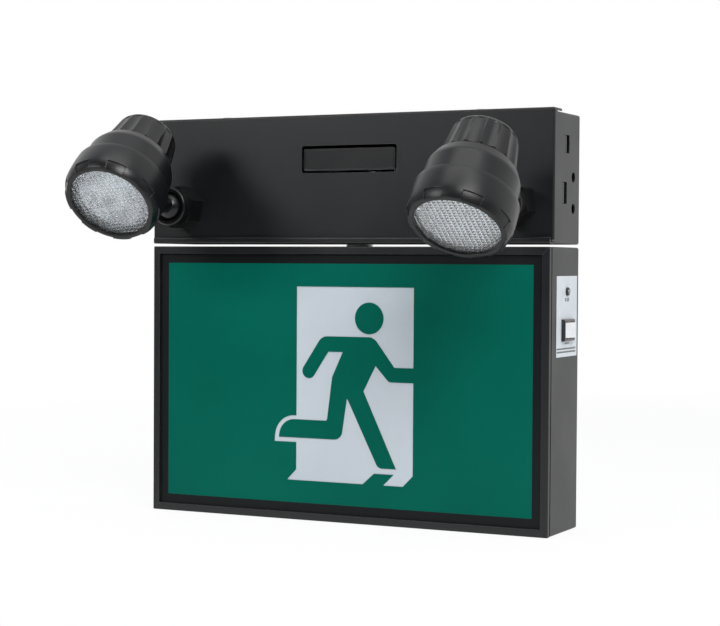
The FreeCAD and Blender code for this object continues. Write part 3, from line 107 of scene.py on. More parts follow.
# ---- shader measures ---------------------------------------------------------------------------
EDGE_WEAR_AND_HIGHLIGHT_REACH = 0.3 * MM            # how far from an edge the finish is lightened, partly by wear and partly by a painted highlight
NOISE_MIDDLE = (0.3, 0.7)       # where most of a noise's values lie
EDGE_TURN = (0.995, 0.9)        # how far a normal turns at an edge that is not lightened, and at one that is
EDGE_BREAKS = (0.35, 0.6)
EDGE_LEAST = 0.35               # share of the edge lightening (wear and painted highlight) that no break takes away
DUST_SLOPE = (0.2, 1.0)         # how far up a surface looks to catch no dust, and all of it
DUST_SCALE = 90.0

# ---- lens and printed marks --------------------------------------------------------------------
LENS_PITCH = 2.7 * MM           # of the prisms across the lens
PRISM_STRETCH = (1.24, 1.0)     # along the rows and across them
PRISM_HEIGHT = 0.8 * MM
PRISM_REACH = 27.9 * MM         # prisms stop under the bezel's lip
PRISM_SMOOTH = 12               # degrees, so that the prisms' edges stay sharp
MARK_THICK = 0.05 * MM
MARK_CORNER = 0.12 * MM
# Each mark is y, z, width and height in millimetres from the label's middle.
SMALL_PRINT = 11.3              # under the indicator
SWITCH_PRINT = -18.4            # under the switch
LABEL_MARKS = (
    *((y, SMALL_PRINT, 0.7, 2.2) for y in (-3.6, -2.1, 0.4, 1.9, 3.4)),
    *((y, SMALL_PRINT + z, 1.2, 0.5) for y, z in ((-2.9, 0.8), (1.1, -0.9), (2.6, 0.9))),
    *((y, SWITCH_PRINT, width, 0.9) for y, width in ((-2.6, 2.2), (0.4, 2.0), (3.0, 1.6))),
)
LABEL_STRIPES = tuple((-0.9, z, 37.4, 1.1) for z in (-22.0, -24.2))

# ---- lamp bezel and cap, in millimetres: distance behind the window plane, and radius -----------
LENS_FRONT = 2.0
BEZEL_PARTS = 128               # round the ring, 16 to a notch and its lug
NOTCHES = 8
NOTCH_FRONT = 0.05
NOTCH_BACK = 6.0
NOTCH_FLOOR = 30.8              # at the front; the floor follows the bezel's slope
LIP_RADIUS = 31.7
BEZEL_STEPS = (                 # front lip, rounded outside, sharp back step, and inside
    (2.0, 28.3), (0.5, 28.3), (0.15, 28.45), (0.0, 28.8), (0.0, NOTCH_FLOOR), (0.0, LIP_RADIUS),
    (0.25, 32.2), (1.5, 33.0), (4.0, 34.1), (6.0, 34.6), (9.0, 34.85), (12.5, 34.95),
    (16.0, 34.95), (20.0, 34.85), (23.4, 34.65), (23.8, 34.5), (24.0, 34.2),
    (24.0, 31.2), (2.0, 31.2), (2.0, 28.3))
CAP_PARTS = 192                 # round the cap, 12 to a flute
CAP_FLUTES = 16
FLUTE_RADIUS = 7.5
FLUTE_DEPTHS = (1.8, 0.95)      # at the cap's base and where the flute runs out
FLUTE_RUN_OUT = (70.6, 72.8)
CAP_END = ((75.4, 17.8), (75.2, 19.4), (74.6, 20.6), (73.8, 21.35))
CAP_SIDE = (                    # from where the flutes run out to the cap's base
    (72.8, 21.85), (72.3, 22.05), (71.8, 22.2), (71.2, 22.35), (70.6, 22.5), (67.0, 23.1),
    (61.0, 24.0), (55.5, 24.9), (50.9, 25.6), (50.3, 25.2))
CAP_INSIDE = ((50.3, 21.0), (58.3, 21.0), (58.3, 19.0), (73.0, 16.6))
EDGE_SOFTNESS = 0.22 * MM

# ---- nameplate and lanced slots, in millimetres where no MM is given ----------------------------
PLATE_SIZE = (71.6, 15.6)
PLATE_CORNER = 1.4 * MM
PLATE_EDGE = 0.6 * MM
PLATE_CORNER_PARTS = 4
PLATE_LOWER = -0.3              # its middle against the window's
FRONT_PLANE = -58.4 * MM
SLOTS = {                       # from the front, above the box's bottom, height
    "upper": (25.6, 62.0, 12.4),
    "lower": (21.0, 27.5, 14.8),
}
TAB_WIDTH = 6.6 * MM
TAB_THICK = 1.0 * MM
TAB_GAP = 0.25
TAB_SINK = 0.35 * MM
TAB_LEAN = 2.0                  # degrees

# ---- cover screws, from the tip up: distance below the cover's top, and radius -------------------
CAD_HEAD_HEIGHT = 2.2
SCREW_HEAD = 3.6
SCREW_STEPS = ((6.0, 1.6), (0.0, 1.6), (0.0, SCREW_HEAD), (-0.4, SCREW_HEAD), (-0.85, 3.0),
               (-1.0, 2.2))
SCREW_PARTS = 32
SCREW_RECESS = 0.9 * MM


def only(piece):
    """Leaves one object selected and active."""
    bpy.ops.object.select_all(action="DESELECT")
    piece.select_set(True)
    bpy.context.view_layer.objects.active = piece


def pick_faces(piece, test):
    """Selects the faces whose middle and normal pass the test, in edit mode."""
    bpy.ops.mesh.select_mode(type="FACE")
    bpy.ops.mesh.select_all(action="DESELECT")
    bpy.ops.object.mode_set(mode="OBJECT")
    for polygon in piece.data.polygons:
        polygon.select = test(polygon.center, polygon.normal)
    bpy.ops.object.mode_set(mode="EDIT")


def started(name, add, **size):
    """A new primitive in edit mode, selected alone and all over."""
    bpy.ops.object.select_all(action="DESELECT")
    add(**size)
    piece = bpy.context.active_object
    piece.name = piece.data.name = name
    bpy.ops.object.mode_set(mode="EDIT")
    bpy.ops.mesh.select_mode(type="VERT")
    bpy.ops.mesh.select_all(action="SELECT")
    return piece


def ended(piece, place, smooth=SMOOTH_ANGLE):
    """Back in object mode, put in place, with its place in its mesh."""
    bpy.ops.mesh.select_all(action="SELECT")
    bpy.ops.mesh.remove_doubles(threshold=MERGE)
    bpy.ops.mesh.normals_make_consistent(inside=False)
    bpy.ops.object.mode_set(mode="OBJECT")
    only(piece)
    piece.matrix_world = place
    bpy.ops.object.transform_apply(location=True, rotation=True, scale=True)
    bpy.ops.object.shade_smooth_by_angle(angle=math.radians(smooth))
    return piece


def drawn_in(piece, share_at):
    """Moves the points of a piece in edit mode towards its axis, each by the share for its place."""
    bpy.ops.object.mode_set(mode="OBJECT")
    for vertex in piece.data.vertices:
        share = share_at(vertex.co)
        vertex.co.x *= share
        vertex.co.y *= share
    bpy.ops.object.mode_set(mode="EDIT")


def joined(pieces):
    """Several pieces made one object."""
    only(pieces[0])
    for piece in pieces:
        piece.select_set(True)
    bpy.ops.object.join()
    return pieces[0]


# ---- shader groups -----------------------------------------------------------------------------
def new_group(name, inputs, outputs):
    """Empty shader group with named inputs (name, kind, value) and outputs (name, kind)."""
    group = bpy.data.node_groups.new(name, "ShaderNodeTree")
    for label, kind, value in inputs:
        socket = group.interface.new_socket(label, in_out="INPUT", socket_type=f"NodeSocket{kind}")
        socket.default_value = value
    for label, kind in outputs:
        group.interface.new_socket(label, in_out="OUTPUT", socket_type=f"NodeSocket{kind}")
    entry, leave = group.nodes.new("NodeGroupInput"), group.nodes.new("NodeGroupOutput")
    return group, entry.outputs, leave.inputs


def node(tree, kind, links=(), **settings):
    """A node with its settings, plus (input, source or value) pairs."""
    made = tree.nodes.new(f"ShaderNode{kind}")
    for key, value in settings.items():
        setattr(made, key, value)
    for socket, source in links:
        if isinstance(source, bpy.types.NodeSocket):
            tree.links.new(source, made.inputs[socket])
        else:
            made.inputs[socket].default_value = source
    return made


def mapped(tree, value, span, to=(0.0, 1.0)):
    """Carries a value from one span over to another, held at both ends."""
    return node(tree, "MapRange", [("Value", value), ("From Min", span[0]), ("From Max", span[1]),
                                   ("To Min", to[0]), ("To Max", to[1])]).outputs["Result"]


def reckoned(tree, operation, first, second):
    """Sum, product or the like of two values."""
    return node(tree, "Math", [(0, first), (1, second)], operation=operation).outputs["Value"]


def blended(tree, share, colour, other):
    """A share of the other colour mixed into the first."""
    return node(tree, "Mix", [("Factor", share), ("A", colour), ("B", other)],
                data_type="RGBA").outputs["Result"]


def placed(tree, group, links):
    """A shader group put in a material, with this finish's own values."""
    return node(tree, "Group", links, node_tree=group).outputs


def grain_group():
    """Fine surface grain: a colour that drifts, a roughness that follows it, and a height."""
    group, given, out = new_group("surface_grain", [
        ("Grain", "Float", 2500.0), ("Drift", "Float", 14.0), ("Light", "Color", WHITE),
        ("Dark", "Color", WHITE), ("Smooth", "Float", 0.3), ("Rough", "Float", 0.5),
        ("Speckle", "Float", 0.3)], [("Color", "Color"), ("Roughness", "Float"), ("Height", "Float")])
    place = node(group, "TexCoord").outputs["Object"]
    fine = node(group, "TexNoise", [("Vector", place), ("Scale", given["Grain"]), ("Detail", 2.0)])
    pits = node(group, "TexVoronoi", [("Vector", place), ("Scale", given["Grain"])])
    drift = node(group, "TexNoise", [("Vector", place), ("Scale", given["Drift"]), ("Detail", 4.0)])
    shade = node(group, "Mix", [("Factor", given["Speckle"]), ("A", drift.outputs["Fac"]),
                                ("B", fine.outputs["Fac"])])
    span = mapped(group, shade.outputs["Result"], NOISE_MIDDLE)
    tone = blended(group, span, given["Dark"], given["Light"])
    rough = mapped(group, drift.outputs["Fac"], NOISE_MIDDLE, (given["Smooth"], given["Rough"]))
    height = reckoned(group, "ADD", fine.outputs["Fac"], pits.outputs["Distance"])
    group.links.new(tone, out["Color"])
    group.links.new(rough, out["Roughness"])
    group.links.new(height, out["Height"])
    return group


def wear_and_highlight_edge_group():
    """Worn edges with a painted highlight: a mask where the surface turns, broken up by noise."""
    group, given, out = new_group("worn_and_highlit_edges", [
        ("Reach", "Float", EDGE_WEAR_AND_HIGHLIGHT_REACH), ("Breaks", "Float", 400.0)], [("Mask", "Float")])
    rounded = node(group, "Bevel", [("Radius", given["Reach"])], samples=4)
    true = node(group, "NewGeometry").outputs["Normal"]
    along = node(group, "VectorMath", [(0, rounded.outputs["Normal"]), (1, true)],
                 operation="DOT_PRODUCT")
    turned = mapped(group, along.outputs["Value"], EDGE_TURN)
    place = node(group, "TexCoord").outputs["Object"]
    breaks = node(group, "TexNoise", [("Vector", place), ("Scale", given["Breaks"]), ("Detail", 3.0)])
    kept = mapped(group, breaks.outputs["Fac"], EDGE_BREAKS, (EDGE_LEAST, 1.0))
    group.links.new(reckoned(group, "MULTIPLY", turned, kept), out["Mask"])
    return group


def dust_group():
    """Faint dust that settles where the surface looks up."""
    group, given, out = new_group("settled_dust", [
        ("Color", "Color", WHITE), ("Dust", "Color", (0.3, 0.29, 0.28, 1.0)), ("Amount", "Float", 0.1)],
        [("Color", "Color")])
    up = node(group, "SeparateXYZ", [("Vector", node(group, "NewGeometry").outputs["Normal"])])
    facing = mapped(group, up.outputs["Z"], DUST_SLOPE)
    place = node(group, "TexCoord").outputs["Object"]
    cloud = node(group, "TexNoise", [("Vector", place), ("Scale", DUST_SCALE), ("Detail", 6.0)])
    share = reckoned(group, "MULTIPLY", facing, cloud.outputs["Fac"])
    level = reckoned(group, "MULTIPLY", share, given["Amount"])
    group.links.new(blended(group, level, given["Color"], given["Dust"]), out["Color"])
    return group


GRAIN, WEAR_AND_HIGHLIGHT_EDGES, DUST = grain_group(), wear_and_highlight_edge_group(), dust_group()


def finish_material(name, dark, light, smooth, rough, grain=2500.0, drift=14.0, speckle=0.3,
                    depth=0.02, edge_wear_and_highlight=None, dust=0.0, metallic=0.0, ior=1.5, coat=0.0, glass=0.0,
                    anisotropic=0.0, specular=0.5):
    """One finish: grain, edges lightened by wear and a painted highlight, and dust over a principled
    surface.
    """
    material = bpy.data.materials.new(name)
    material.use_nodes = True
    tree = material.node_tree
    surface = tree.nodes["Principled BSDF"]
    grained = placed(tree, GRAIN, [("Grain", grain), ("Drift", drift), ("Light", (*light, 1.0)),
                                   ("Dark", (*dark, 1.0)), ("Smooth", smooth), ("Rough", rough),
                                   ("Speckle", speckle)])
    colour = grained["Color"]
    # Sharp edges are mixed towards a paler grey. This is partly wear and partly a painted highlight.
    if edge_wear_and_highlight:
        worn_and_highlit_edge_mask = placed(tree, WEAR_AND_HIGHLIGHT_EDGES, [("Reach", EDGE_WEAR_AND_HIGHLIGHT_REACH)])["Mask"]
        colour = blended(tree, worn_and_highlit_edge_mask, colour, (*edge_wear_and_highlight, 1.0))
    if dust:
        colour = placed(tree, DUST, [("Color", colour), ("Amount", dust)])["Color"]
    bump = node(tree, "Bump", [("Height", grained["Height"]), ("Distance", depth * MM),
                               ("Strength", 1.0)])
    tree.links.new(colour, surface.inputs["Base Color"])
    tree.links.new(grained["Roughness"], surface.inputs["Roughness"])
    tree.links.new(bump.outputs["Normal"], surface.inputs["Normal"])
    surface.inputs["Metallic"].default_value = metallic
    surface.inputs["IOR"].default_value = ior
    surface.inputs["Coat Weight"].default_value = coat
    surface.inputs["Transmission Weight"].default_value = glass
    surface.inputs["Anisotropic"].default_value = anisotropic
    surface.inputs["Specular IOR Level"].default_value = specular
    return material


# The paler edge colours given to some finishes are partly wear and partly a painted highlight on sharp
# edges.
FINISHES = {
    "powder_coat": dict(dark=(0.0045, 0.0052, 0.0060), light=(0.0085, 0.0090, 0.0105), smooth=0.36,
                        rough=0.46, grain=2600.0, depth=0.03, edge_wear_and_highlight=(0.10, 0.10, 0.11), dust=0.02),
    "lamp_plastic": dict(dark=(0.0035, 0.0037, 0.0042), light=(0.0060, 0.0062, 0.0070), smooth=0.28,
                         rough=0.38, grain=4000.0, depth=0.01, edge_wear_and_highlight=(0.05, 0.05, 0.055), dust=0.02,
                         specular=0.4),
    "nameplate": dict(dark=(0.0050, 0.0052, 0.0060), light=(0.0080, 0.0082, 0.0092), smooth=0.30,
                      rough=0.38, grain=3600.0, depth=0.01, edge_wear_and_highlight=(0.09, 0.09, 0.10)),
    "zinc": dict(dark=(0.50, 0.50, 0.49), light=(0.68, 0.68, 0.66), smooth=0.25, rough=0.42,
                 grain=1800.0, depth=0.01, metallic=1.0),
    "battery_case": dict(dark=(0.030, 0.030, 0.034), light=(0.045, 0.045, 0.050), smooth=0.4, rough=0.55,
                         depth=0.02),
    "board": dict(dark=(0.006, 0.045, 0.020), light=(0.010, 0.075, 0.032), smooth=0.25, rough=0.35,
                  grain=900.0, depth=0.02, coat=0.3),
    "nylon": dict(dark=(0.62, 0.60, 0.52), light=(0.72, 0.70, 0.62), smooth=0.4, rough=0.5, depth=0.01),
    "core": dict(dark=(0.07, 0.06, 0.05), light=(0.14, 0.12, 0.10), smooth=0.35, rough=0.5, grain=600.0,
                 depth=0.05, metallic=0.6),
    "bushing": dict(dark=(0.012, 0.012, 0.012), light=(0.018, 0.018, 0.018), smooth=0.4, rough=0.5,
                    depth=0.01),
    "mask": dict(dark=(0.0030, 0.0045, 0.0050), light=(0.0050, 0.0068, 0.0074), smooth=0.45, rough=0.55,
                 grain=3000.0, depth=0.004, specular=0.2),
    "green_film": dict(dark=(0.0, 0.098, 0.068), light=(0.0, 0.128, 0.090), smooth=0.34, rough=0.42,
                       grain=5200.0, drift=7.0, speckle=0.12, depth=0.003, specular=0.06),
    "acrylic": dict(dark=(0.52, 0.57, 0.62), light=(0.58, 0.63, 0.68), smooth=0.30, rough=0.38,
                    grain=3000.0, drift=9.0, speckle=0.1, depth=0.003, specular=0.15),
    "tray_white": dict(dark=(0.78, 0.78, 0.77), light=(0.84, 0.84, 0.83), smooth=0.5, rough=0.6),
    "strip": dict(dark=(0.70, 0.70, 0.66), light=(0.80, 0.80, 0.76), smooth=0.4, rough=0.5),
    "label": dict(dark=(0.60, 0.64, 0.67), light=(0.70, 0.74, 0.77), smooth=0.45, rough=0.55,
                  grain=2200.0, depth=0.004, specular=0.3),
    "indicator": dict(dark=(0.26, 0.27, 0.29), light=(0.34, 0.35, 0.37), smooth=0.12, rough=0.2,
                      depth=0.004, coat=0.5),
    "switch": dict(dark=(0.010, 0.010, 0.012), light=(0.016, 0.016, 0.018), smooth=0.22, rough=0.32,
                   grain=3800.0, depth=0.006, edge_wear_and_highlight=(0.10, 0.10, 0.11)),
    "rocker": dict(dark=(0.74, 0.75, 0.76), light=(0.80, 0.81, 0.82), smooth=0.25, rough=0.34,
                   grain=3800.0, depth=0.006),
    "lens": dict(dark=(0.90, 0.94, 0.96), light=(0.96, 0.98, 1.0), smooth=0.04, rough=0.10, grain=1500.0,
                 depth=0.004, glass=0.92, ior=1.49),
    "rubber": dict(dark=(0.012, 0.012, 0.012), light=(0.020, 0.020, 0.020), smooth=0.6, rough=0.75,
                   depth=0.02),
    "reflector": dict(dark=(0.86, 0.87, 0.89), light=(0.92, 0.93, 0.95), smooth=0.08, rough=0.16,
                      grain=700.0, depth=0.01, metallic=1.0),
    "led": dict(dark=(0.70, 0.69, 0.60), light=(0.82, 0.81, 0.70), smooth=0.35, rough=0.45),
    "sink": dict(dark=(0.60, 0.61, 0.62), light=(0.72, 0.73, 0.74), smooth=0.3, rough=0.4, metallic=1.0,
                 anisotropic=0.5),
    "print_black": dict(dark=(0.020, 0.020, 0.022), light=(0.035, 0.035, 0.038), smooth=0.45, rough=0.55,
                        depth=0.003),
    "print_grey": dict(dark=(0.12, 0.125, 0.13), light=(0.17, 0.175, 0.18), smooth=0.45, rough=0.55,
                       depth=0.003),
}
materials = {name: finish_material(name, **values) for name, values in FINISHES.items()}


def dress(piece, name):
    """Gives a piece one finish all over."""
    piece.data.materials.clear()
    piece.data.materials.append(materials[name])


def fitted(piece, finish, body, replaced=None):
    """Gives a new piece its finish and its body, in the stead of the CAD node that it replaces."""
    dress(piece, finish)
    if replaced:
        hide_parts(replaced)
    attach(piece, body)


for part in frame["record"]["subparts"]:
    dress(nodes[part["node"]], part["material_slot"])


# ---- lamp heads --------------------------------------------------------------------------------
def aim(side):
    """Which way a lamp looks, and the turn that brings it there from straight ahead."""
    turn = Matrix.Rotation(math.radians(LAMPS[side]["turn"]), 4, "Y") @ \
        Matrix.Rotation(math.radians(LAMPS[side]["tilt"]), 4, "X")
    return (turn @ Vector((0, -1, 0))).normalized(), turn


def head_place(side):
    """Frame of a lamp head: its window plane's middle, with Z looking out along the lamp."""
    facing, turn = aim(side)
    low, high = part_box(f"{side}_lens")
    lens_front = max(vertex.co.dot(facing) for vertex in nodes[f"{side}_lens"].data.vertices)
    middle = (low + high) / 2
    window = middle + facing * (lens_front + LENS_FRONT * MM - middle.dot(facing))
    return Matrix.Translation(window) @ turn @ Matrix.Rotation(math.radians(90), 4, "X")


def lathe(name, steps, parts, fill):
    """Turns a piece from its steps: one loop extruded and resized along the lamp's axis."""
    depth, radius = steps[0]
    piece = started(name, bpy.ops.mesh.primitive_circle_add, vertices=parts, radius=radius * MM,
                    fill_type=fill)
    bpy.ops.transform.translate(value=(0, 0, -depth * MM))
    for (last_depth, last_radius), (depth, radius) in zip(steps, steps[1:]):
        bpy.ops.mesh.extrude_region_move(
            TRANSFORM_OT_translate={"value": (0, 0, (last_depth - depth) * MM)})
        share = radius / last_radius
        bpy.ops.transform.resize(value=(share, share, 1.0), center_override=(0, 0, -depth * MM))
    return piece


def softened(piece):
    """Small rounds on the sharp edges, so that they catch the light."""
    rounds = piece.modifiers.new("rounds", "BEVEL")
    rounds.width, rounds.segments, rounds.limit_method = EDGE_SOFTNESS, 2, "ANGLE"
    rounds.angle_limit = math.radians(SHARP_ANGLE)
    only(piece)
    bpy.ops.object.modifier_apply(modifier=rounds.name)
    bpy.ops.object.shade_smooth_by_angle(angle=math.radians(SMOOTH_ANGLE))


def in_notch(place):
    """Whether a point lies in one of the bezel's notches, each as wide as the lug beside it."""
    period = 2 * math.pi / NOTCHES
    return math.atan2(place.y, place.x) % period < period / 2


def notched_bezel(side):
    """Bezel ring with a castellated front edge and a sharp step at its back."""
    bezel = lathe(f"{side}_notched_bezel", BEZEL_STEPS, BEZEL_PARTS, "NOTHING")
    bpy.ops.mesh.select_all(action="SELECT")
    bpy.ops.mesh.remove_doubles(threshold=MERGE)
    pick_faces(bezel, lambda c, n: in_notch(c) and c.xy.length > LIP_RADIUS * MM and
               -NOTCH_BACK * MM < c.z < -NOTCH_FRONT * MM)
    bpy.ops.mesh.extrude_region_move()
    share = NOTCH_FLOOR / LIP_RADIUS
    bpy.ops.transform.resize(value=(share, share, 1.0), center_override=(0, 0, 0))
    pick_faces(bezel, lambda c, n: in_notch(c) and abs(c.z) < ON_PLANE and
               NOTCH_FLOOR * MM < c.xy.length < LIP_RADIUS * MM)
    bpy.ops.mesh.delete(type="ONLY_FACE")
    bpy.ops.mesh.select_mode(type="VERT")
    bpy.ops.mesh.select_all(action="SELECT")
    bpy.ops.mesh.delete_loose()
    ended(bezel, head_place(side))
    softened(bezel)
    return bezel


def flute_cut(place):
    """Depth of the scalloped flutes at a point on the cap's outside."""
    depth_behind = -place.z / MM
    start, end = FLUTE_RUN_OUT
    base = CAP_SIDE[-1][0]
    along = min(max((depth_behind - base) / (start - base), 0), 1)
    deep = FLUTE_DEPTHS[0] + (FLUTE_DEPTHS[1] - FLUTE_DEPTHS[0]) * along
    if depth_behind > start:
        deep *= math.sqrt(max(0, 1 - ((depth_behind - start) / (end - start)) ** 2))
    period = 2 * math.pi / CAP_FLUTES
    off_middle = (math.atan2(place.y, place.x) % period - period / 2) * place.xy.length / MM
    return max(0, deep - off_middle ** 2 / (2 * FLUTE_RADIUS))


def fluted_cap(side):
    """Rear cap with round scalloped flutes that run out below a smooth rim."""
    cap = lathe(f"{side}_fluted_cap", CAP_END + CAP_SIDE + CAP_INSIDE, CAP_PARTS, "NGON")
    outside = min(radius for _, radius in CAP_SIDE) * MM - ON_SURFACE
    drawn_in(cap, lambda c: 1 - flute_cut(c) * MM / c.xy.length if c.xy.length > outside else 1)
    ended(cap, head_place(side))
    return cap


for side in LAMPS:
    fitted(notched_bezel(side), "lamp_plastic", f"{side}_lamp", f"{side}_bezel")
    fitted(fluted_cap(side), "lamp_plastic", f"{side}_lamp", f"{side}_rear_cap")


# ---- nameplate and slot tabs -------------------------------------------------------------------
def bevelled_plate():
    """Blank nameplate: a slightly smaller plate with a bevelled rim, set in the cover's window."""
    low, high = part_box("nameplate")
    wide, tall = PLATE_SIZE[0] * MM, PLATE_SIZE[1] * MM
    plate = started("bevelled_nameplate", bpy.ops.mesh.primitive_plane_add, size=1.0)
    bpy.ops.transform.resize(value=(wide, tall, 1.0), center_override=(0, 0, 0))
    bpy.ops.mesh.bevel(offset=PLATE_CORNER, segments=PLATE_CORNER_PARTS, affect="VERTICES")
    bpy.ops.mesh.select_all(action="SELECT")
    bpy.ops.mesh.extrude_region_move(TRANSFORM_OT_translate={"value": (0, 0, high.y - low.y)})
    bpy.ops.mesh.inset(thickness=PLATE_EDGE, depth=0.0)
    bpy.ops.mesh.inset(thickness=PLATE_EDGE, depth=-PLATE_EDGE)
    middle = (low + high) / 2
    standing = Matrix.Translation((middle.x, high.y, middle.z + PLATE_LOWER * MM)) @ \
        Matrix.Rotation(math.radians(90), 4, "X")
    ended(plate, standing)
    softened(plate)
    fitted(plate, "nameplate", "housing", "nameplate")


def slot_tab(name, hand, from_front, low, height):
    """Lanced tab standing almost flush in a slot of the battery box's end, cut free on three sides."""
    box_low, box_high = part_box("battery_box")
    tab = started(name, bpy.ops.mesh.primitive_cube_add, size=1.0)
    bpy.ops.transform.resize(value=(TAB_THICK, TAB_WIDTH, (height - 2 * TAB_GAP) * MM),
                             center_override=(0, 0, 0))
    place = (hand * (box_high.x - TAB_SINK - TAB_THICK / 2),
             FRONT_PLANE + from_front * MM + TAB_WIDTH / 2,
             box_low.z + (low + height / 2) * MM)
    ended(tab, Matrix.Translation(place) @ Matrix.Rotation(math.radians(-hand * TAB_LEAN), 4, "Z"))
    softened(tab)
    fitted(tab, "powder_coat", "housing")


def low_cover_screws():
    """The cover's two screws, with low round heads and a driver recess."""
    low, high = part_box("cover_screws")
    seat = high.z - CAD_HEAD_HEIGHT * MM
    heads = []
    for x in (low.x + SCREW_HEAD * MM, high.x - SCREW_HEAD * MM):
        screw = lathe("low_cover_screws", SCREW_STEPS, SCREW_PARTS, "NGON")
        bpy.ops.mesh.inset(thickness=SCREW_RECESS, depth=-SCREW_RECESS / 2)
        heads.append(ended(screw, Matrix.Translation((x, (low.y + high.y) / 2, seat))))
    fitted(joined(heads), "zinc", "housing", "cover_screws")


low_cover_screws()
bevelled_plate()
for end, hand in (("right", 1), ("left", -1)):
    for level, cut in SLOTS.items():
        slot_tab(f"{end}_{level}_tab", hand, *cut)


# ---- lens --------------------------------------------------------------------------------------
def prismatic_lens(side):
    """Lens disc whose front carries rows of small pyramid prisms."""
    flat = f"{side}_lens"
    low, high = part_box(flat)
    middle = (low + high) / 2
    facing, turn = aim(side)
    depths = [vertex.co.dot(facing) for vertex in nodes[flat].data.vertices]
    thick = max(depths) - min(depths)
    radius = max((vertex.co - middle - facing * (vertex.co - middle).dot(facing)).length
                 for vertex in nodes[flat].data.vertices)
    rows = 2 * math.ceil(radius / LENS_PITCH)
    lens = started(f"{side}_prism_lens", bpy.ops.mesh.primitive_grid_add, x_subdivisions=rows,
                   y_subdivisions=rows, size=rows * LENS_PITCH)
    bpy.ops.transform.resize(value=(*PRISM_STRETCH, 1.0))
    bpy.ops.mesh.extrude_region_move(TRANSFORM_OT_translate={"value": (0, 0, thick)})
    pick_faces(lens, lambda c, n: n.z > 0.9 and c.z > thick / 2 and c.xy.length < PRISM_REACH)
    bpy.ops.mesh.poke(offset=PRISM_HEIGHT)
    drawn_in(lens, lambda c: radius / max(c.xy.length, radius))
    spun = Matrix.Translation(middle - facing * thick / 2) @ turn @ \
        Matrix.Rotation(math.radians(90), 4, "X")
    ended(lens, spun, smooth=PRISM_SMOOTH)
    fitted(lens, "lens", f"{side}_lamp", flat)


for side in LAMPS:
    prismatic_lens(side)


# ---- printed marks on the side label -----------------------------------------------------------
def printed_bars(name, finish, bars):
    """Thin bars printed on the label, joined as one piece."""
    low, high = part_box("side_label")
    middle = (low + high) / 2
    pieces = []
    for y, z, width, height in bars:
        bar = started(name, bpy.ops.mesh.primitive_plane_add, size=1.0)
        bpy.ops.transform.resize(value=(width * MM, height * MM, 1.0))
        bpy.ops.mesh.bevel(offset=min(MARK_CORNER, height * MM / 3), segments=2, affect="VERTICES")
        bpy.ops.mesh.select_all(action="SELECT")
        bpy.ops.mesh.extrude_region_move(TRANSFORM_OT_translate={"value": (0, 0, MARK_THICK)})
        standing = Matrix.Translation((high.x, middle.y + y * MM, middle.z + z * MM)) @ \
            Matrix.Rotation(math.radians(90), 4, "Z") @ Matrix.Rotation(math.radians(90), 4, "X")
        pieces.append(ended(bar, standing))
    fitted(joined(pieces), finish, "housing")


printed_bars("label_marks", "print_black", LABEL_MARKS)
printed_bars("label_stripes", "print_grey", LABEL_STRIPES)


# ---- studio ------------------------------------------------------------------------------------
def background_seen(tree, mirrored=1.0, through_glass=1.0):
    """One for the eye, and the given shares for reflections and through glass."""
    path = node(tree, "LightPath").outputs
    seen = path["Is Camera Ray"]
    for ray, share in (("Is Glossy Ray", mirrored), ("Is Transmission Ray", through_glass)):
        seen = reckoned(tree, "MAXIMUM", seen, reckoned(tree, "MULTIPLY", path[ray], share))
    return seen


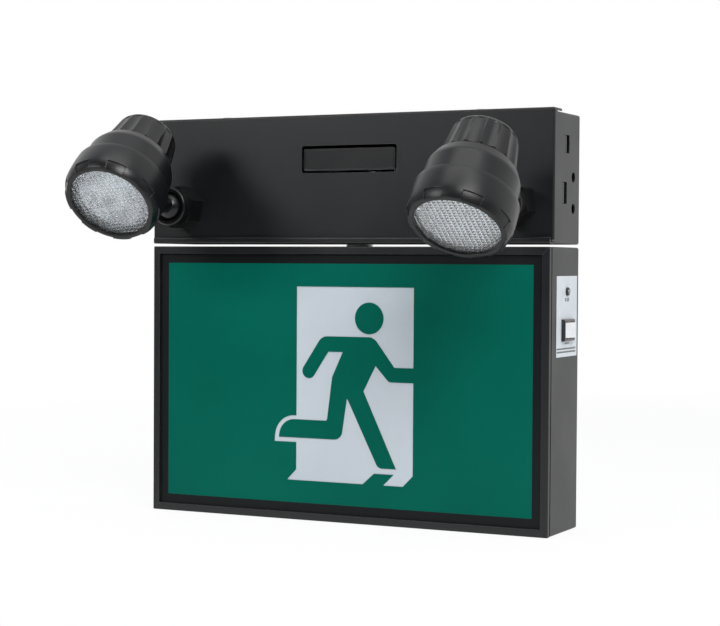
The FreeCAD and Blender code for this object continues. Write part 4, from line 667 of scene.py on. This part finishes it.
def pale_floor():
    """Pale round floor under the light, whiter to the eye the farther away it is."""
    low, _ = cad_box
    floor = started("floor", bpy.ops.mesh.primitive_circle_add, vertices=FLOOR_PARTS,
                    radius=FLOOR_SIZE, fill_type="NGON")
    bpy.ops.mesh.inset(thickness=FLOOR_RIM)
    ended(floor, Matrix.Translation((0, FLOOR_BACK, low[2])))
    paint = bpy.data.materials.new("floor_paint")
    paint.use_nodes = True
    tree = paint.node_tree
    matt = tree.nodes["Principled BSDF"]
    matt.inputs["Base Color"].default_value = FLOOR_COLOUR
    matt.inputs["Roughness"].default_value = FLOOR_ROUGHNESS
    off = node(tree, "VectorMath", [(0, node(tree, "TexCoord").outputs["Object"]),
                                    (1, (0, FLOOR_BACK, low[2]))], operation="SUBTRACT")
    away = node(tree, "VectorMath", [(0, off.outputs["Vector"])], operation="LENGTH")
    share = mapped(tree, away.outputs["Value"], FLOOR_FADE, FLOOR_WHITE)
    level = reckoned(tree, "MULTIPLY", background_seen(tree), share)
    white = node(tree, "Emission", [("Color", WHITE), ("Strength", 1.0)])
    mixed = node(tree, "MixShader", [(0, level), (1, matt.outputs["BSDF"]),
                                     (2, white.outputs["Emission"])])
    tree.links.new(mixed.outputs["Shader"], tree.nodes["Material Output"].inputs["Surface"])
    floor.data.materials.append(paint)


def soft_world():
    """Pale sky light, strong behind and weak in front; the eye sees plain white."""
    world = bpy.data.worlds.new("studio")
    bpy.context.scene.world = world
    world.use_nodes = True
    tree = world.node_tree
    sky = tree.nodes["Background"]
    sky.inputs["Color"].default_value = WORLD_COLOUR
    way = node(tree, "SeparateXYZ", [("Vector", node(tree, "TexCoord").outputs["Generated"])])
    tree.links.new(mapped(tree, way.outputs["Y"], WORLD_FADE, WORLD_LEVELS), sky.inputs["Strength"])
    behind = mapped(tree, way.outputs["Y"], WHITE_BEHIND)
    below = mapped(tree, way.outputs["Z"], WHITE_BELOW)
    seen = background_seen(tree, behind, reckoned(tree, "MAXIMUM", behind, below))
    white = node(tree, "Background", [("Color", WHITE), ("Strength", 1.0)])
    mixed = node(tree, "MixShader", [(0, seen), (1, sky.outputs["Background"]),
                                     (2, white.outputs["Background"])])
    tree.links.new(mixed.outputs["Shader"], tree.nodes["World Output"].inputs["Surface"])


def softbox(name, place, target, width, height, watts):
    """Soft rectangular lamp, turned to face its target."""
    lamp = bpy.data.lights.new(name, "AREA")
    lamp.shape, lamp.size, lamp.size_y, lamp.energy = "RECTANGLE", width, height, watts
    holder = bpy.data.objects.new(name, lamp)
    holder.location = place
    holder.rotation_euler = (Vector(target) - Vector(place)).to_track_quat("-Z", "Y").to_euler()
    bpy.context.scene.collection.objects.link(holder)


def camera():
    """The scene's camera."""
    eye = bpy.data.cameras.new("camera")
    eye.lens, eye.sensor_width, eye.clip_start = CAMERA_LENS, CAMERA_SENSOR, CAMERA_NEAR
    holder = bpy.data.objects.new("camera", eye)
    holder.location = CAMERA_PLACE
    holder.rotation_euler = [math.radians(a) for a in CAMERA_TURN]
    bpy.context.scene.collection.objects.link(holder)
    bpy.context.scene.camera = holder


pale_floor()
soft_world()
for name, values in SOFTBOXES.items():
    softbox(name, *values)
camera()
bpy.context.scene.view_settings.view_transform = "Standard"
